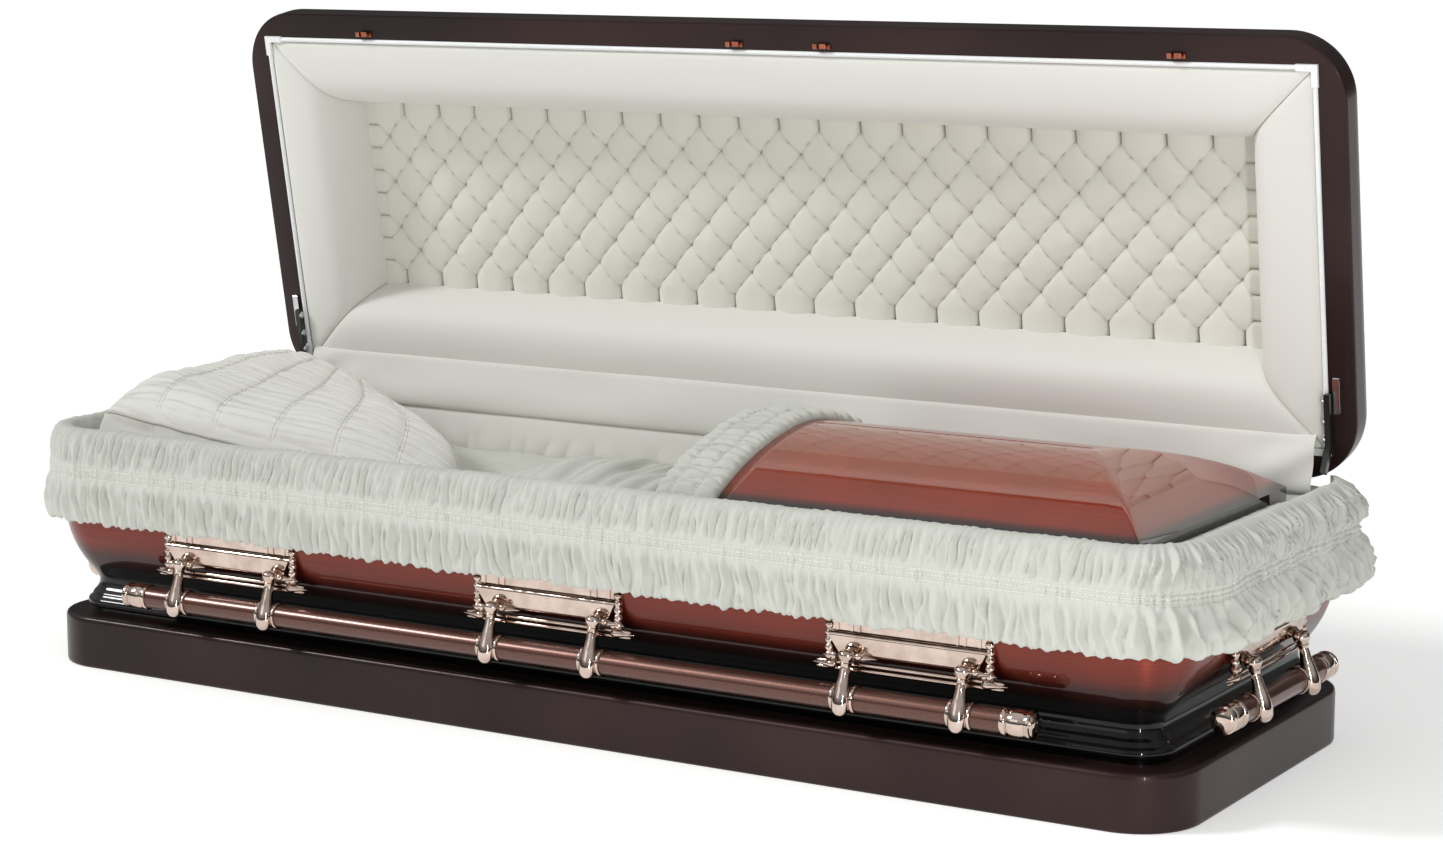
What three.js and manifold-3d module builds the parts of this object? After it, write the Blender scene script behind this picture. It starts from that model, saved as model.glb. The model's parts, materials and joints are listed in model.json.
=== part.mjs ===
// A full-couch funeral casket with its lid standing open, in millimetres.
// The origin is the middle of the base's underside. +X is the foot end, -Y the front, +Z is up.
import * as THREE from "three";
import { ConvexGeometry } from "three/addons/geometries/ConvexGeometry.js";
import { mergeVertices } from "three/addons/utils/BufferGeometryUtils.js";
import Module from "manifold-3d";

const wasm = await Module();
wasm.setup();

// Driving dimensions
const LENGTH = 2100;
const WIDTH = 710;
const PLAN_RADIUS = 102;
const LEAST_RADIUS = 4;
const BASE_HEIGHT = 88;
const RIM_HEIGHT = 389;
const SHEET = 1.5;
const GAP = 0.4;
const CORNER_STEPS = 4;

// Half sizes that everything below is measured from
const HALF_LENGTH = LENGTH / 2;
const HALF_WIDTH = WIDTH / 2;

// Lid: its hinge line, how far it stands open, and its width from hinge to front edge
const HINGE_Y = 346;
const HINGE_Z = 397;
const LID_OPEN_DEGREES = 80;
const LID_WIDTH = 706;
const FLANGE = 44.5;
const BEAD_WIDTH = 8;
const BEAD_HEIGHT = 4;
const COVE_DEPTH = 96;
const TUFT_INSET = 137;
const TUFT_BOARD = 8;

// Bed and the things that lie on it
const BED_TOP = 322;
const FOOT_PANEL_START = 262;
const FOOT_PANEL_END = 960;
const FOOT_PANEL_HALF_WIDTH = 279;
const FOOT_PANEL_EDGE_Z = 396;
const FOOT_PANEL_WALL = 4;
const HIP_STEEPNESS = 1.35;
const BAND_START = 152;
const BAND_THICKNESS = 16;

// Overlay: how much further it stands out at the foot end
const OVERLAY_FOOT_SPREAD = 2.6;

// Swing handles: heights, the outward offset of the pivot from the base's edge, and spacings
const PIVOT_Z = 205;
const PIVOT_OUT = 9;
const BAR_Z = 142;
const BAR_RADIUS = 18.5;
const ARM_SPACING = 95;
const PLATE_SPACING = 632;
const SIDE_BAR_HALF = 793;
const END_BAR_HALF = 155;
const TIP_LENGTH = 54;

// Finishes
function finish(color, roughness, metalness) {
  return new THREE.MeshStandardMaterial({ color, roughness, metalness });
}
const plumPaint = finish(0x372b2d, 0.35, 0.3);
const brushedLacquer = finish(0x6b2a20, 0.2, 0.5);
const barPaint = finish(0x5c3830, 0.3, 0.6);
const roseGold = finish(0xe0b9a8, 0.12, 1);
const copper = finish(0x8a4f3c, 0.3, 1);
const chrome = finish(0xc8c8ca, 0.1, 1);
const blackSteel = finish(0x1b1a1b, 0.4, 0.6);
const whitePlastic = finish(0xf2f2ee, 0.4, 0);
const creamCloth = finish(0xe6e5df, 0.9, 0);

const casket = new THREE.Group();

function addMesh(parent, name, geometry, material) {
  const mesh = new THREE.Mesh(geometry, material);
  mesh.name = name;
  parent.add(mesh);
  return mesh;
}

// Closed rounded rectangle, counter-clockwise from above, always with the same number of points
function planOutline(halfX, halfY, radius, middleY = 0) {
  const round = Math.max(radius, LEAST_RADIUS);
  const points = [];
  const corners = [[1, 1], [-1, 1], [-1, -1], [1, -1]];
  corners.forEach(([sideX, sideY], corner) => {
    for (let step = 0; step <= CORNER_STEPS; step += 1) {
      const angle = (Math.PI / 2) * (corner + step / CORNER_STEPS);
      const x = sideX * (halfX - round) + round * Math.cos(angle);
      const y = sideY * (halfY - round) + round * Math.sin(angle);
      points.push(new THREE.Vector2(x, y + middleY));
    }
  });
  return points;
}

// Turns a list of positions and triangles into a geometry whose faces point outwards
function closedGeometry(positions, triangles) {
  let volume = 0;
  for (const [a, b, c] of triangles) {
    volume += positions[a].dot(positions[b].clone().cross(positions[c]));
  }
  const turned = volume < 0 ? triangles.map(([a, b, c]) => [a, c, b]) : triangles;
  const geometry = new THREE.BufferGeometry().setFromPoints(positions);
  geometry.setIndex(turned.flat());
  return geometry;
}

// Skins a row of rings that all have the same number of points. The two end rings are capped with
// the given triangles, or, with no cap, the last ring joins the first.
function loft(rings, cap = null) {
  const count = rings[0].length;
  const last = cap ? rings.length - 1 : rings.length;
  const triangles = [];
  for (let ring = 0; ring < last; ring += 1) {
    const next = (ring + 1) % rings.length;
    for (let i = 0; i < count; i += 1) {
      const j = (i + 1) % count;
      triangles.push([ring * count + i, ring * count + j, next * count + j]);
      triangles.push([ring * count + i, next * count + j, next * count + i]);
    }
  }
  if (cap) {
    const top = (rings.length - 1) * count;
    for (const [a, b, c] of cap) {
      triangles.push([a, c, b]);
      triangles.push([top + a, top + b, top + c]);
    }
  }
  return closedGeometry(rings.flat(), triangles);
}

const capOf = (outline) => THREE.ShapeUtils.triangulateShape(outline, []);

// Stack of rounded rectangles, one for each pair of inset from the plan edge and height
function planStack(profile, halfX, halfY, radius, middleY = 0) {
  const outlines = profile.map(([inset]) =>
    planOutline(halfX - inset, halfY - inset, radius - inset, middleY));
  const rings = outlines.map((outline, ring) =>
    outline.map((point) => new THREE.Vector3(point.x, point.y, profile[ring][1])));
  return loft(rings, capOf(outlines[0]));
}

const casketStack = (profile) => planStack(profile, HALF_LENGTH, HALF_WIDTH, PLAN_RADIUS);

// Solids for joining and cutting
function toSolid(geometry) {
  const bare = geometry.clone();
  bare.deleteAttribute("normal");
  bare.deleteAttribute("uv");
  const merged = mergeVertices(bare, 1e-4);
  const vertProperties = new Float32Array(merged.attributes.position.array);
  const triVerts = new Uint32Array(merged.index.array);
  return new wasm.Manifold(new wasm.Mesh({ numProp: 3, vertProperties, triVerts }));
}

function fromSolid(solid) {
  const { vertProperties, triVerts } = solid.getMesh();
  const geometry = new THREE.BufferGeometry();
  geometry.setAttribute("position", new THREE.BufferAttribute(vertProperties, 3));
  geometry.setIndex(new THREE.BufferAttribute(triVerts, 1));
  return geometry;
}

const joined = (geometries) => geometries.map(toSolid).reduce((whole, piece) => whole.add(piece));

const boxBetween = (low, high) => {
  const size = high.map((value, axis) => value - low[axis]);
  const middle = high.map((value, axis) => (value + low[axis]) / 2);
  return new THREE.BoxGeometry(...size).translate(...middle);
};

const rodAlongX = (radius, length, sides) =>
  new THREE.CylinderGeometry(radius, radius, length, sides).rotateZ(Math.PI / 2);

// A section drawn in y and z, run along x between two places
function runAlongX(section, fromX, toX) {
  const options = { depth: toX - fromX, bevelEnabled: false, steps: 1 };
  const geometry = new THREE.ExtrudeGeometry(new THREE.Shape(section), options);
  const turn = new THREE.Matrix4().set(0, 0, 1, fromX, 1, 0, 0, 0, 0, 1, 0, 0, 0, 0, 0, 1);
  return geometry.applyMatrix4(turn);
}

const toPoints = (pairs) => pairs.map(([a, b]) => new THREE.Vector2(a, b));

// Base plinth
const BASE_PROFILE = [[4, 0], [1.8, 3], [0, 40], [0, 80], [1.8, 85.5], [6, BASE_HEIGHT]];
addMesh(casket, "base_plinth", casketStack(BASE_PROFILE), plumPaint);

// Shell: from the foot bead, through the cove, up the flared side to the rim
const SHELL_FOOT = BASE_HEIGHT + GAP;
const SHELL_SIDE = [
  [42, SHELL_FOOT], [41, 104], [42, 116], [50, 122], [57, 131], [58.8, 139], [54, 151], [45, 163.5],
  [33, 180], [21, 201], [12.5, 222], [7.5, 240], [4.8, 275], [4.5, RIM_HEIGHT - 4], [6, RIM_HEIGHT],
];
const SHELL_FLOOR = SHELL_FOOT + SHEET;
const shellInside = SHELL_SIDE.slice(1).reverse().map(([inset, z]) => [inset + SHEET + 0.3, z - 0.5]);
const SHELL_LIP = [9, RIM_HEIGHT];
addMesh(
  casket,
  "shell",
  casketStack([...SHELL_SIDE, SHELL_LIP, ...shellInside, [44, SHELL_FLOOR]]),
  brushedLacquer,
);

// Bed: narrow in the shell's waist, full width under the pillow
const BED_PROFILE = [
  [66, SHELL_FLOOR + GAP], [66, 165], [38, 205], [38, BED_TOP - 12], [50, BED_TOP],
];
addMesh(casket, "bed", casketStack(BED_PROFILE), creamCloth);

// Pillow: a crowned cushion, longest at the front and highest at the head end. It is drawn as a
// rectangle of unit stretch, then stretched towards the foot and lowered there.
const PILLOW = { headX: -1000, halfX: 250, halfY: 288, edgeX: -520, slant: 0.9655, bulge: 60, fall: 0.36 };
const PILLOW_PROFILE = [
  [60, 0], [14, 20], [0, 50], [8, 90], [40, 130], [90, 153], [150, 163],
];
function pillowGeometry() {
  const geometry = planStack(PILLOW_PROFILE, PILLOW.halfX, PILLOW.halfY, 150);
  const places = geometry.attributes.position;
  for (let i = 0; i < places.count; i += 1) {
    const across = places.getY(i);
    const share = (places.getX(i) + PILLOW.halfX) / (2 * PILLOW.halfX);
    const bulge = PILLOW.bulge * (1 - (across / PILLOW.halfY) ** 2);
    const span = PILLOW.edgeX - PILLOW.slant * across + bulge - PILLOW.headX;
    const lowered = 1 - PILLOW.fall * share;
    places.setXYZ(i, PILLOW.headX + span * share, across, BED_TOP + GAP + lowered * places.getZ(i));
  }
  return geometry;
}
addMesh(casket, "pillow", pillowGeometry(), creamCloth);

// Back lining, inside the back wall
const BACK_LINING = { halfX: 940, nearY: 320, farY: 336.5, lowZ: 215, highZ: RIM_HEIGHT - 3 };
addMesh(
  casket,
  "back_lining",
  boxBetween(
    [-BACK_LINING.halfX, BACK_LINING.nearY, BACK_LINING.lowZ],
    [BACK_LINING.halfX, BACK_LINING.farY, BACK_LINING.highZ],
  ),
  creamCloth,
);

// Hinge rail, along the back rim under the lid's hinge line
const RAIL = { halfX: 940, nearY: 337.5, farY: 345.5, lowZ: 366, highZ: RIM_HEIGHT - 0.5 };
addMesh(
  casket,
  "hinge_rail",
  boxBetween([-RAIL.halfX, RAIL.nearY, RAIL.lowZ], [RAIL.halfX, RAIL.farY, RAIL.highZ]),
  blackSteel,
);

// Overlay: a hook-shaped section, out from the base's edge and up, swept round front and ends
const OVERLAY_SECTION = [
  [11, 258], [22, 258], [22, 310], [20, 380], [14, 398], [2, 409], [-10, 412], [-22, 408], [-29, 396],
  [-30, 350], [-15, 350], [-14, 388], [-9, 393], [4, 393], [9, 385], [11, 300],
];

// Stations on the base's edge, from halfway round the head end's back corner, along the front, to
// halfway round the foot end's back corner
function overlayPath() {
  const outline = planOutline(HALF_LENGTH, HALF_WIDTH, PLAN_RADIUS);
  const perCorner = CORNER_STEPS + 1;
  const stations = outline.map((point, index) => {
    const corner = Math.floor(index / perCorner);
    const angle = (Math.PI / 2) * (corner + (index % perCorner) / CORNER_STEPS);
    return { point, out: new THREE.Vector2(Math.cos(angle), Math.sin(angle)) };
  });
  const halfCorner = CORNER_STEPS / 2;
  return [...stations.slice(perCorner + halfCorner), ...stations.slice(0, halfCorner + 1)];
}

function overlayGeometry() {
  const inner = OVERLAY_SECTION[0][0];
  const rings = overlayPath().map(({ point, out }) => {
    const spread = 1 + (OVERLAY_FOOT_SPREAD - 1) * Math.max(0, out.x);
    return OVERLAY_SECTION.map(([away, z]) => {
      const reach = away > inner ? inner + (away - inner) * spread : away;
      return new THREE.Vector3(point.x + out.x * reach, point.y + out.y * reach, z);
    });
  });
  return loft(rings, capOf(toPoints(OVERLAY_SECTION)));
}
addMesh(casket, "overlay", overlayGeometry(), creamCloth);

// Foot panel: the rise of its crown at a distance from its edge, a steep lower face and a flatter top
const CREASE_DISTANCE = 140;
const CREASE_RISE = 60;
const CROWN_RISE = 82;
const EDGE_BOW = 8;
function crownRise(distance) {
  if (distance < CREASE_DISTANCE) {
    const part = distance / CREASE_DISTANCE;
    return CREASE_RISE * part + EDGE_BOW * Math.sin(Math.PI * part);
  }
  const part = (distance - CREASE_DISTANCE) / (FOOT_PANEL_HALF_WIDTH - CREASE_DISTANCE);
  return CREASE_RISE + (CROWN_RISE - CREASE_RISE) * Math.sin((Math.PI / 2) * Math.min(part, 1));
}

// One cross-section of the panel: an arch of the given half width, from skirt foot to skirt foot
const ARCH_DISTANCES = [0, 45, 90, CREASE_DISTANCE, 185, 230, FOOT_PANEL_HALF_WIDTH];
function archOutline(endDistance, offset, footZ) {
  const side = ARCH_DISTANCES.map((distance) => {
    const rise = crownRise(Math.min(distance, endDistance * HIP_STEEPNESS));
    return [FOOT_PANEL_HALF_WIDTH - distance * (1 + offset / FOOT_PANEL_HALF_WIDTH) + offset, rise];
  });
  const half = [[FOOT_PANEL_HALF_WIDTH + offset, footZ - FOOT_PANEL_EDGE_Z - offset], ...side];
  const mirrored = half.slice(0, -1).reverse().map(([y, z]) => [-y, z]);
  return [...half, ...mirrored].map(([y, z]) => new THREE.Vector2(y, z + FOOT_PANEL_EDGE_Z + offset));
}

// The panel's outer form, solid down to the bed; the same form a wall thickness smaller hollows it out
function hipForm(offset, startX, endX) {
  const stations = [0, 33, 67, CREASE_DISTANCE / HIP_STEEPNESS, 140, 175, 207];
  const xs = stations.map((distance) => endX - distance).reverse();
  const distances = [...stations].reverse();
  const rings = [startX, ...xs].map((x, index) => {
    const distance = index === 0 ? FOOT_PANEL_HALF_WIDTH : distances[index - 1];
    return archOutline(distance, offset, BED_TOP + GAP).map(({ x: y, y: z }) => new THREE.Vector3(x, y, z));
  });
  return loft(rings, capOf(archOutline(FOOT_PANEL_HALF_WIDTH, offset, BED_TOP + GAP)));
}

const panelOutside = toSolid(hipForm(0, FOOT_PANEL_START, FOOT_PANEL_END));
const panelInside = toSolid(
  hipForm(-FOOT_PANEL_WALL, FOOT_PANEL_START - 50, FOOT_PANEL_END - FOOT_PANEL_WALL),
);
const underPanel = toSolid(boxBetween(
  [FOOT_PANEL_START - 50, FOOT_PANEL_WALL - FOOT_PANEL_HALF_WIDTH, BED_TOP - 50],
  [FOOT_PANEL_END - FOOT_PANEL_WALL, FOOT_PANEL_HALF_WIDTH - FOOT_PANEL_WALL, BED_TOP + 12],
));
addMesh(casket, "foot_panel", fromSolid(panelOutside.subtract(panelInside.add(underPanel))), brushedLacquer);

// Band: a soft cuff in front of the panel's head edge, following the same arch
function bandGeometry() {
  const outer = archOutline(FOOT_PANEL_HALF_WIDTH, BAND_THICKNESS / 2, BED_TOP + GAP);
  const inner = archOutline(FOOT_PANEL_HALF_WIDTH, -BAND_THICKNESS / 2, BED_TOP + GAP).reverse();
  return runAlongX([...outer, ...inner], BAND_START, FOOT_PANEL_START - GAP);
}
addMesh(casket, "foot_panel_band", bandGeometry(), creamCloth);

// Ear plate, in its own frame: x along the plate, y out from the base's edge, z up
const STRIP = { halfX: 131, front: 0, low: 226, high: 272 };
const BLOCK = { topHalf: 128, lowHalf: 113, topZ: 232, lowZ: 205, topOut: 4, lowOut: -2, back: -40 };
const WEB = { halfX: 113, front: -9, low: 190, high: 228 };
const RAIL_HALF = 159;
const RAIL_SECTION = [[-40, 179], [-9, 179], [-5, 182], [-8, 185.5], [-5, 189], [-9, 192], [-40, 192]];
const LUG = { inner: 10.6, width: 7, half: 5 };
const WALL_DEPTH = 200;

function plateGeometry() {
  const blockCorners = [
    [BLOCK.topHalf, BLOCK.topOut, BLOCK.topZ], [BLOCK.topHalf, BLOCK.back, BLOCK.topZ],
    [BLOCK.lowHalf, BLOCK.lowOut, BLOCK.lowZ], [BLOCK.lowHalf, BLOCK.back, BLOCK.lowZ],
  ];
  const bothSides = [...blockCorners, ...blockCorners.map(([x, y, z]) => [-x, y, z])];
  const pieces = [
    boxBetween([-STRIP.halfX, BLOCK.back, STRIP.low], [STRIP.halfX, STRIP.front, STRIP.high]),
    new ConvexGeometry(bothSides.map((corner) => new THREE.Vector3(...corner))),
    boxBetween([-WEB.halfX, BLOCK.back, WEB.low], [WEB.halfX, WEB.front, WEB.high]),
    runAlongX(toPoints(RAIL_SECTION), -RAIL_HALF, RAIL_HALF),
  ];
  for (const place of [-ARM_SPACING, ARM_SPACING]) {
    for (const face of [-1, 1]) {
      const x = place + face * (LUG.inner + LUG.width / 2);
      pieces.push(boxBetween(
        [x - LUG.width / 2, BLOCK.back, PIVOT_Z - LUG.half],
        [x + LUG.width / 2, PIVOT_OUT + LUG.half, PIVOT_Z + LUG.half],
      ));
    }
  }
  const wall = SHELL_SIDE.map(([inset, z]) => [GAP - inset, z]);
  const behind = [[-WALL_DEPTH, RIM_HEIGHT], [-WALL_DEPTH, SHELL_FOOT]];
  const wallBlock = runAlongX(toPoints([...wall, ...behind]), -WALL_DEPTH, WALL_DEPTH);
  return fromSolid(joined(pieces).subtract(toSolid(wallBlock)));
}

// Arm: a ball at the pivot that runs into a drop-shaped body in front of the bar, and a ring round the bar
const DROP_LEAN = Math.atan2(21, 83);
const DROP_PROFILE = [
  [0, -88], [7, -82], [11, -64], [10, -46], [5.5, -15], [5.5, -9], [10, 0], [8, 6], [0, 10],
];
const DROP_SIDES = 6;
const RING = { radius: 23.5, width: 20, sides: 8 };
function armGeometry() {
  const drop = new THREE.LatheGeometry(toPoints(DROP_PROFILE), DROP_SIDES);
  drop.rotateX(Math.PI / 2).rotateX(DROP_LEAN);
  const ring = rodAlongX(RING.radius, RING.width, RING.sides).translate(0, 0, BAR_Z - PIVOT_Z);
  const boreRadius = (BAR_RADIUS + GAP) / Math.cos(Math.PI / RING.sides);
  const bore = rodAlongX(boreRadius, 2 * RING.width, RING.sides).translate(0, 0, BAR_Z - PIVOT_Z);
  return fromSolid(joined([drop, ring]).subtract(toSolid(bore)));
}

// Bar tip: a ribbed ferrule that closes the end of the bar
const TIP_PROFILE = [
  [0, 0], [20.5, 0], [20.5, 8], [18, 11], [21, 24], [18, 37], [20.5, 40], [19, 50], [0, TIP_LENGTH],
];
const TIP_SIDES = 8;
const tipGeometry = new THREE.LatheGeometry(toPoints(TIP_PROFILE), TIP_SIDES).rotateZ(-Math.PI / 2);

const plate = plateGeometry();
const arm = armGeometry();

// One swing handle on one side of the casket, with its plates at the given places along the side
function addHandle(side, position, turn, plateNames, barHalf) {
  const group = new THREE.Group();
  group.position.set(...position);
  group.rotation.z = turn;
  casket.add(group);
  const names = Object.keys(plateNames);
  for (const name of names) {
    const x = plateNames[name];
    addMesh(group, `ear_plate_${side}${name}`, plate, roseGold).position.x = x;
    [-1, 1].forEach((offset, index) => {
      const piece = addMesh(group, `handle_arm_${side}${name}_${index + 1}`, arm, roseGold);
      piece.position.set(x + offset * ARM_SPACING, PIVOT_OUT, PIVOT_Z);
    });
  }
  const bar = addMesh(group, `handle_bar_${side}`, rodAlongX(BAR_RADIUS, 2 * barHalf, 16), barPaint);
  bar.position.set(0, PIVOT_OUT, BAR_Z);
  [1, -1].forEach((end, index) => {
    const tip = addMesh(group, `bar_tip_${side}_${index + 1}`, tipGeometry, roseGold);
    tip.position.set(end * (barHalf + GAP), PIVOT_OUT, BAR_Z);
    tip.rotation.z = end > 0 ? 0 : Math.PI;
  });
}
const threePlates = { _a: -PLATE_SPACING, _b: 0, _c: PLATE_SPACING };
addHandle("front", [0, -HALF_WIDTH, 0], Math.PI, threePlates, SIDE_BAR_HALF);
addHandle("back", [0, HALF_WIDTH, 0], 0, threePlates, SIDE_BAR_HALF);
addHandle("head", [-HALF_LENGTH, 0, 0], Math.PI / 2, { "": 0 }, END_BAR_HALF);
addHandle("foot", [HALF_LENGTH, 0, 0], -Math.PI / 2, { "": 0 }, END_BAR_HALF);

// Lid, drawn closed with its hinge line on the X axis and its front towards -Y, then stood open
const lid = new THREE.Group();
lid.position.set(0, HINGE_Y, HINGE_Z);
lid.rotation.x = -THREE.MathUtils.degToRad(LID_OPEN_DEGREES);
casket.add(lid);
const LID_MIDDLE = -LID_WIDTH / 2;
const LID_HALF = LID_WIDTH / 2;

// The lid's skin: down the inside of the crown, out and in along the flange, up the outside of the crown
const CROWN = [[0, 2], [0, 40], [7, 62], [28, 88], [72, 113], [138, 128], [205, 134]];
const OPENING_INSET = FLANGE + BEAD_WIDTH / 2;
function lidShellGeometry() {
  const inside = CROWN.slice(1).reverse().map(([inset, z]) => [inset + SHEET, z - SHEET]);
  const flange = [[SHEET, SHEET], [OPENING_INSET, SHEET], [OPENING_INSET, 0], [2, 0]];
  const skin = [...inside, ...flange, ...CROWN];
  const outlines = skin.map(([inset]) => {
    const radius = inset === OPENING_INSET ? LEAST_RADIUS : PLAN_RADIUS - inset;
    return planOutline(HALF_LENGTH - inset, LID_HALF - inset, radius, LID_MIDDLE);
  });
  const rings = outlines.map((outline, ring) =>
    outline.map((point) => new THREE.Vector3(point.x, point.y, skin[ring][1])));
  return loft(rings, capOf(outlines[0]));
}
addMesh(lid, "lid_shell", lidShellGeometry(), plumPaint);

// White bead trim round the opening, proud of the flange towards the inside of the casket
function beadGeometry() {
  const section = [
    [FLANGE, -GAP], [FLANGE, 1 - BEAD_HEIGHT], [FLANGE + BEAD_WIDTH / 2, -BEAD_HEIGHT],
    [FLANGE + BEAD_WIDTH, 1 - BEAD_HEIGHT], [FLANGE + BEAD_WIDTH, -GAP],
  ];
  const rings = section.map(([inset, z]) => {
    const outline = planOutline(HALF_LENGTH - inset, LID_HALF - inset, LEAST_RADIUS, LID_MIDDLE);
    return outline.map((point) => new THREE.Vector3(point.x, point.y, z));
  });
  return loft(rings);
}
addMesh(lid, "lid_bead", beadGeometry(), whitePlastic);

// Cove panels: padded rolls, flat beside the bead and turning down to the tufted panel. Each pair is
// the distance in from the bead's outer edge and the depth into the lid.
const COVE_START = BEAD_WIDTH + GAP;
const COVE_SECTION = [
  [COVE_START, 0], [22, -2], [56, -4], [88, 1], [104, 11], [116, 27], [127, 53], [134, 78],
  [TUFT_INSET, COVE_DEPTH - GAP], [TUFT_INSET - 11, COVE_DEPTH - GAP], [122, 76], [113, 50], [100, 30],
  [82, 16], [COVE_START, 11],
];

// One mitred panel along an edge of the bead frame, drawn along x and turned into its place
function coveGeometry(halfAlong) {
  const rings = [-1, 1].map((end) =>
    COVE_SECTION.map(([inset, z]) => new THREE.Vector3(end * (halfAlong - inset - GAP), -inset, z)));
  return loft(rings, capOf(toPoints(COVE_SECTION)));
}
const BEAD_HALF_X = HALF_LENGTH - FLANGE;
const BEAD_HALF_Y = LID_HALF - FLANGE;
const coveEdges = [
  ["cove_back", BEAD_HALF_X, BEAD_HALF_Y, 0],
  ["cove_front", BEAD_HALF_X, BEAD_HALF_Y, Math.PI],
  ["cove_foot", BEAD_HALF_Y, BEAD_HALF_X, -Math.PI / 2],
  ["cove_head", BEAD_HALF_Y, BEAD_HALF_X, Math.PI / 2],
];
for (const [name, halfAlong, away, turn] of coveEdges) {
  const geometry = coveGeometry(halfAlong).translate(0, away, 0).rotateZ(turn);
  addMesh(lid, name, geometry, creamCloth).position.y = LID_MIDDLE;
}

// Tufted panel, its edges tucked behind the coves
const TUFT_TUCK = 8;
const tuftHalfX = BEAD_HALF_X - TUFT_INSET + TUFT_TUCK;
const tuftHalfY = BEAD_HALF_Y - TUFT_INSET + TUFT_TUCK;
addMesh(
  lid,
  "tufted_panel",
  boxBetween([-tuftHalfX, -tuftHalfY, COVE_DEPTH], [tuftHalfX, tuftHalfY, COVE_DEPTH + TUFT_BOARD]),
  creamCloth,
).position.y = LID_MIDDLE;

// Copper latch hooks on the front flange
const LATCH_PLACES = [-780, -10, 156, 780];
const LATCH = { halfX: 13, flangeInset: 34, depth: 9, drop: 13 };
LATCH_PLACES.forEach((x, index) => {
  const hook = [[0, 0], [0, -LATCH.drop], [LATCH.depth, -LATCH.drop], [LATCH.depth, -8], [4, -7], [4, 0]];
  const geometry = runAlongX(toPoints(hook), -LATCH.halfX, LATCH.halfX);
  const latch = addMesh(lid, `latch_${index + 1}`, geometry, copper);
  latch.position.set(x, LATCH.flangeInset - LID_WIDTH - LATCH.depth / 2, -GAP);
});

// Hinge arms and their brackets, at the two ends of the lid beside the hinge line
const ARM = { innerX: 1003, outerX: 1013 };
const ARM_OUTLINE = [[-148, -9], [-148, -17], [-64, -17], [-30, -44], [-24, -36], [-60, -9]];
const BRACKET = { innerX: 1013.5, outerX: 1025, near: 112, far: 172, low: -17 };
[["head", -1], ["foot", 1]].forEach(([end, side]) => {
  const xs = [side * ARM.innerX, side * ARM.outerX].sort((a, b) => a - b);
  addMesh(lid, `hinge_arm_${end}`, runAlongX(toPoints(ARM_OUTLINE), ...xs), blackSteel);
  const faces = [side * BRACKET.innerX, side * BRACKET.outerX].sort((a, b) => a - b);
  const bracket = boxBetween([faces[0], -BRACKET.far, BRACKET.low], [faces[1], -BRACKET.near, -GAP]);
  addMesh(lid, `arm_bracket_${end}`, bracket, chrome);
});

export default casket;
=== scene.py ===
# %% [markdown]
# # An open funeral casket
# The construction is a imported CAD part, and its bodies, joints and sizes stay as they are. This script
# gives it its looks: rounded and lacquered metal, polished handles, and gathered, tufted and padded
# cloth. Lengths in the script are millimetres, turned to metres where a mesh is made.

# %% Load the frame
import json
import math

import bmesh
import bpy
import numpy as np
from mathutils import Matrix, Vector


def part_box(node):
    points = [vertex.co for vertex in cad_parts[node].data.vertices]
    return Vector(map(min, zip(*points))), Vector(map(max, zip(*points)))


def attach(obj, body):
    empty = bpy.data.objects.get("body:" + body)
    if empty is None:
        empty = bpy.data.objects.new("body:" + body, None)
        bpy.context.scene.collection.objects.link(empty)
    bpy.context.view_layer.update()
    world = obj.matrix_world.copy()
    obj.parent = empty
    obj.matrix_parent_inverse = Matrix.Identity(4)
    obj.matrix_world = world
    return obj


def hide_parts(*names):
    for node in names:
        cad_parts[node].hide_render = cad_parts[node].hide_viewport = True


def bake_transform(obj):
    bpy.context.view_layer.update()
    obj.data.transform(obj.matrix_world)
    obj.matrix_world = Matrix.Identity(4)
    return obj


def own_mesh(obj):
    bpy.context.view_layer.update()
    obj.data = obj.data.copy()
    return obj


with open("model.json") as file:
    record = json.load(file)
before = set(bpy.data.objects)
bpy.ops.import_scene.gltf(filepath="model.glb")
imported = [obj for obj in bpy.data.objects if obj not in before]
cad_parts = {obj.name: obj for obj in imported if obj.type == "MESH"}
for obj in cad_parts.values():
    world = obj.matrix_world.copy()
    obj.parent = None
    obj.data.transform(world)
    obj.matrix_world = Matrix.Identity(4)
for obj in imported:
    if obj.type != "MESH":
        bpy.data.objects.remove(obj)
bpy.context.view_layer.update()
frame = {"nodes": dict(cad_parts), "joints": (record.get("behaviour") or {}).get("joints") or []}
MM = 0.001
random = np.random.default_rng(7)

base_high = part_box("base_plinth")[1]
HALF_LENGTH = base_high.x / MM
HALF_WIDTH = base_high.y / MM
BASE_TOP = base_high.z / MM
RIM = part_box("shell")[1].z / MM
BED_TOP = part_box("bed")[1].z / MM
lid_hinge = next(joint for joint in frame["joints"] if joint["name"] == "lid_hinge")
HINGE_Y = lid_hinge["pos_m"][1] / MM
HINGE_Z = lid_hinge["pos_m"][2] / MM
LID_LEAN = math.radians(90 - lid_hinge["range_deg"][1])
print("base", 2 * HALF_LENGTH, "by", 2 * HALF_WIDTH, "mm, lid leans", round(math.degrees(LID_LEAN), 1))

# %% [markdown]
# ## Camera
# The camera stands where the picture was taken from: low, in front of the foot end, with a long lens.
# Its place was worked out from the straight edges of the base and the lid.

# %% Camera
PICTURE_WIDTH = 1443
FOCAL_PIXELS = 3210
CAMERA_PLACE = (2.752, -4.358, 1.287)
CAMERA_TURN = math.radians(31.3)
CAMERA_DOWN = math.radians(9.25)

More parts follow.
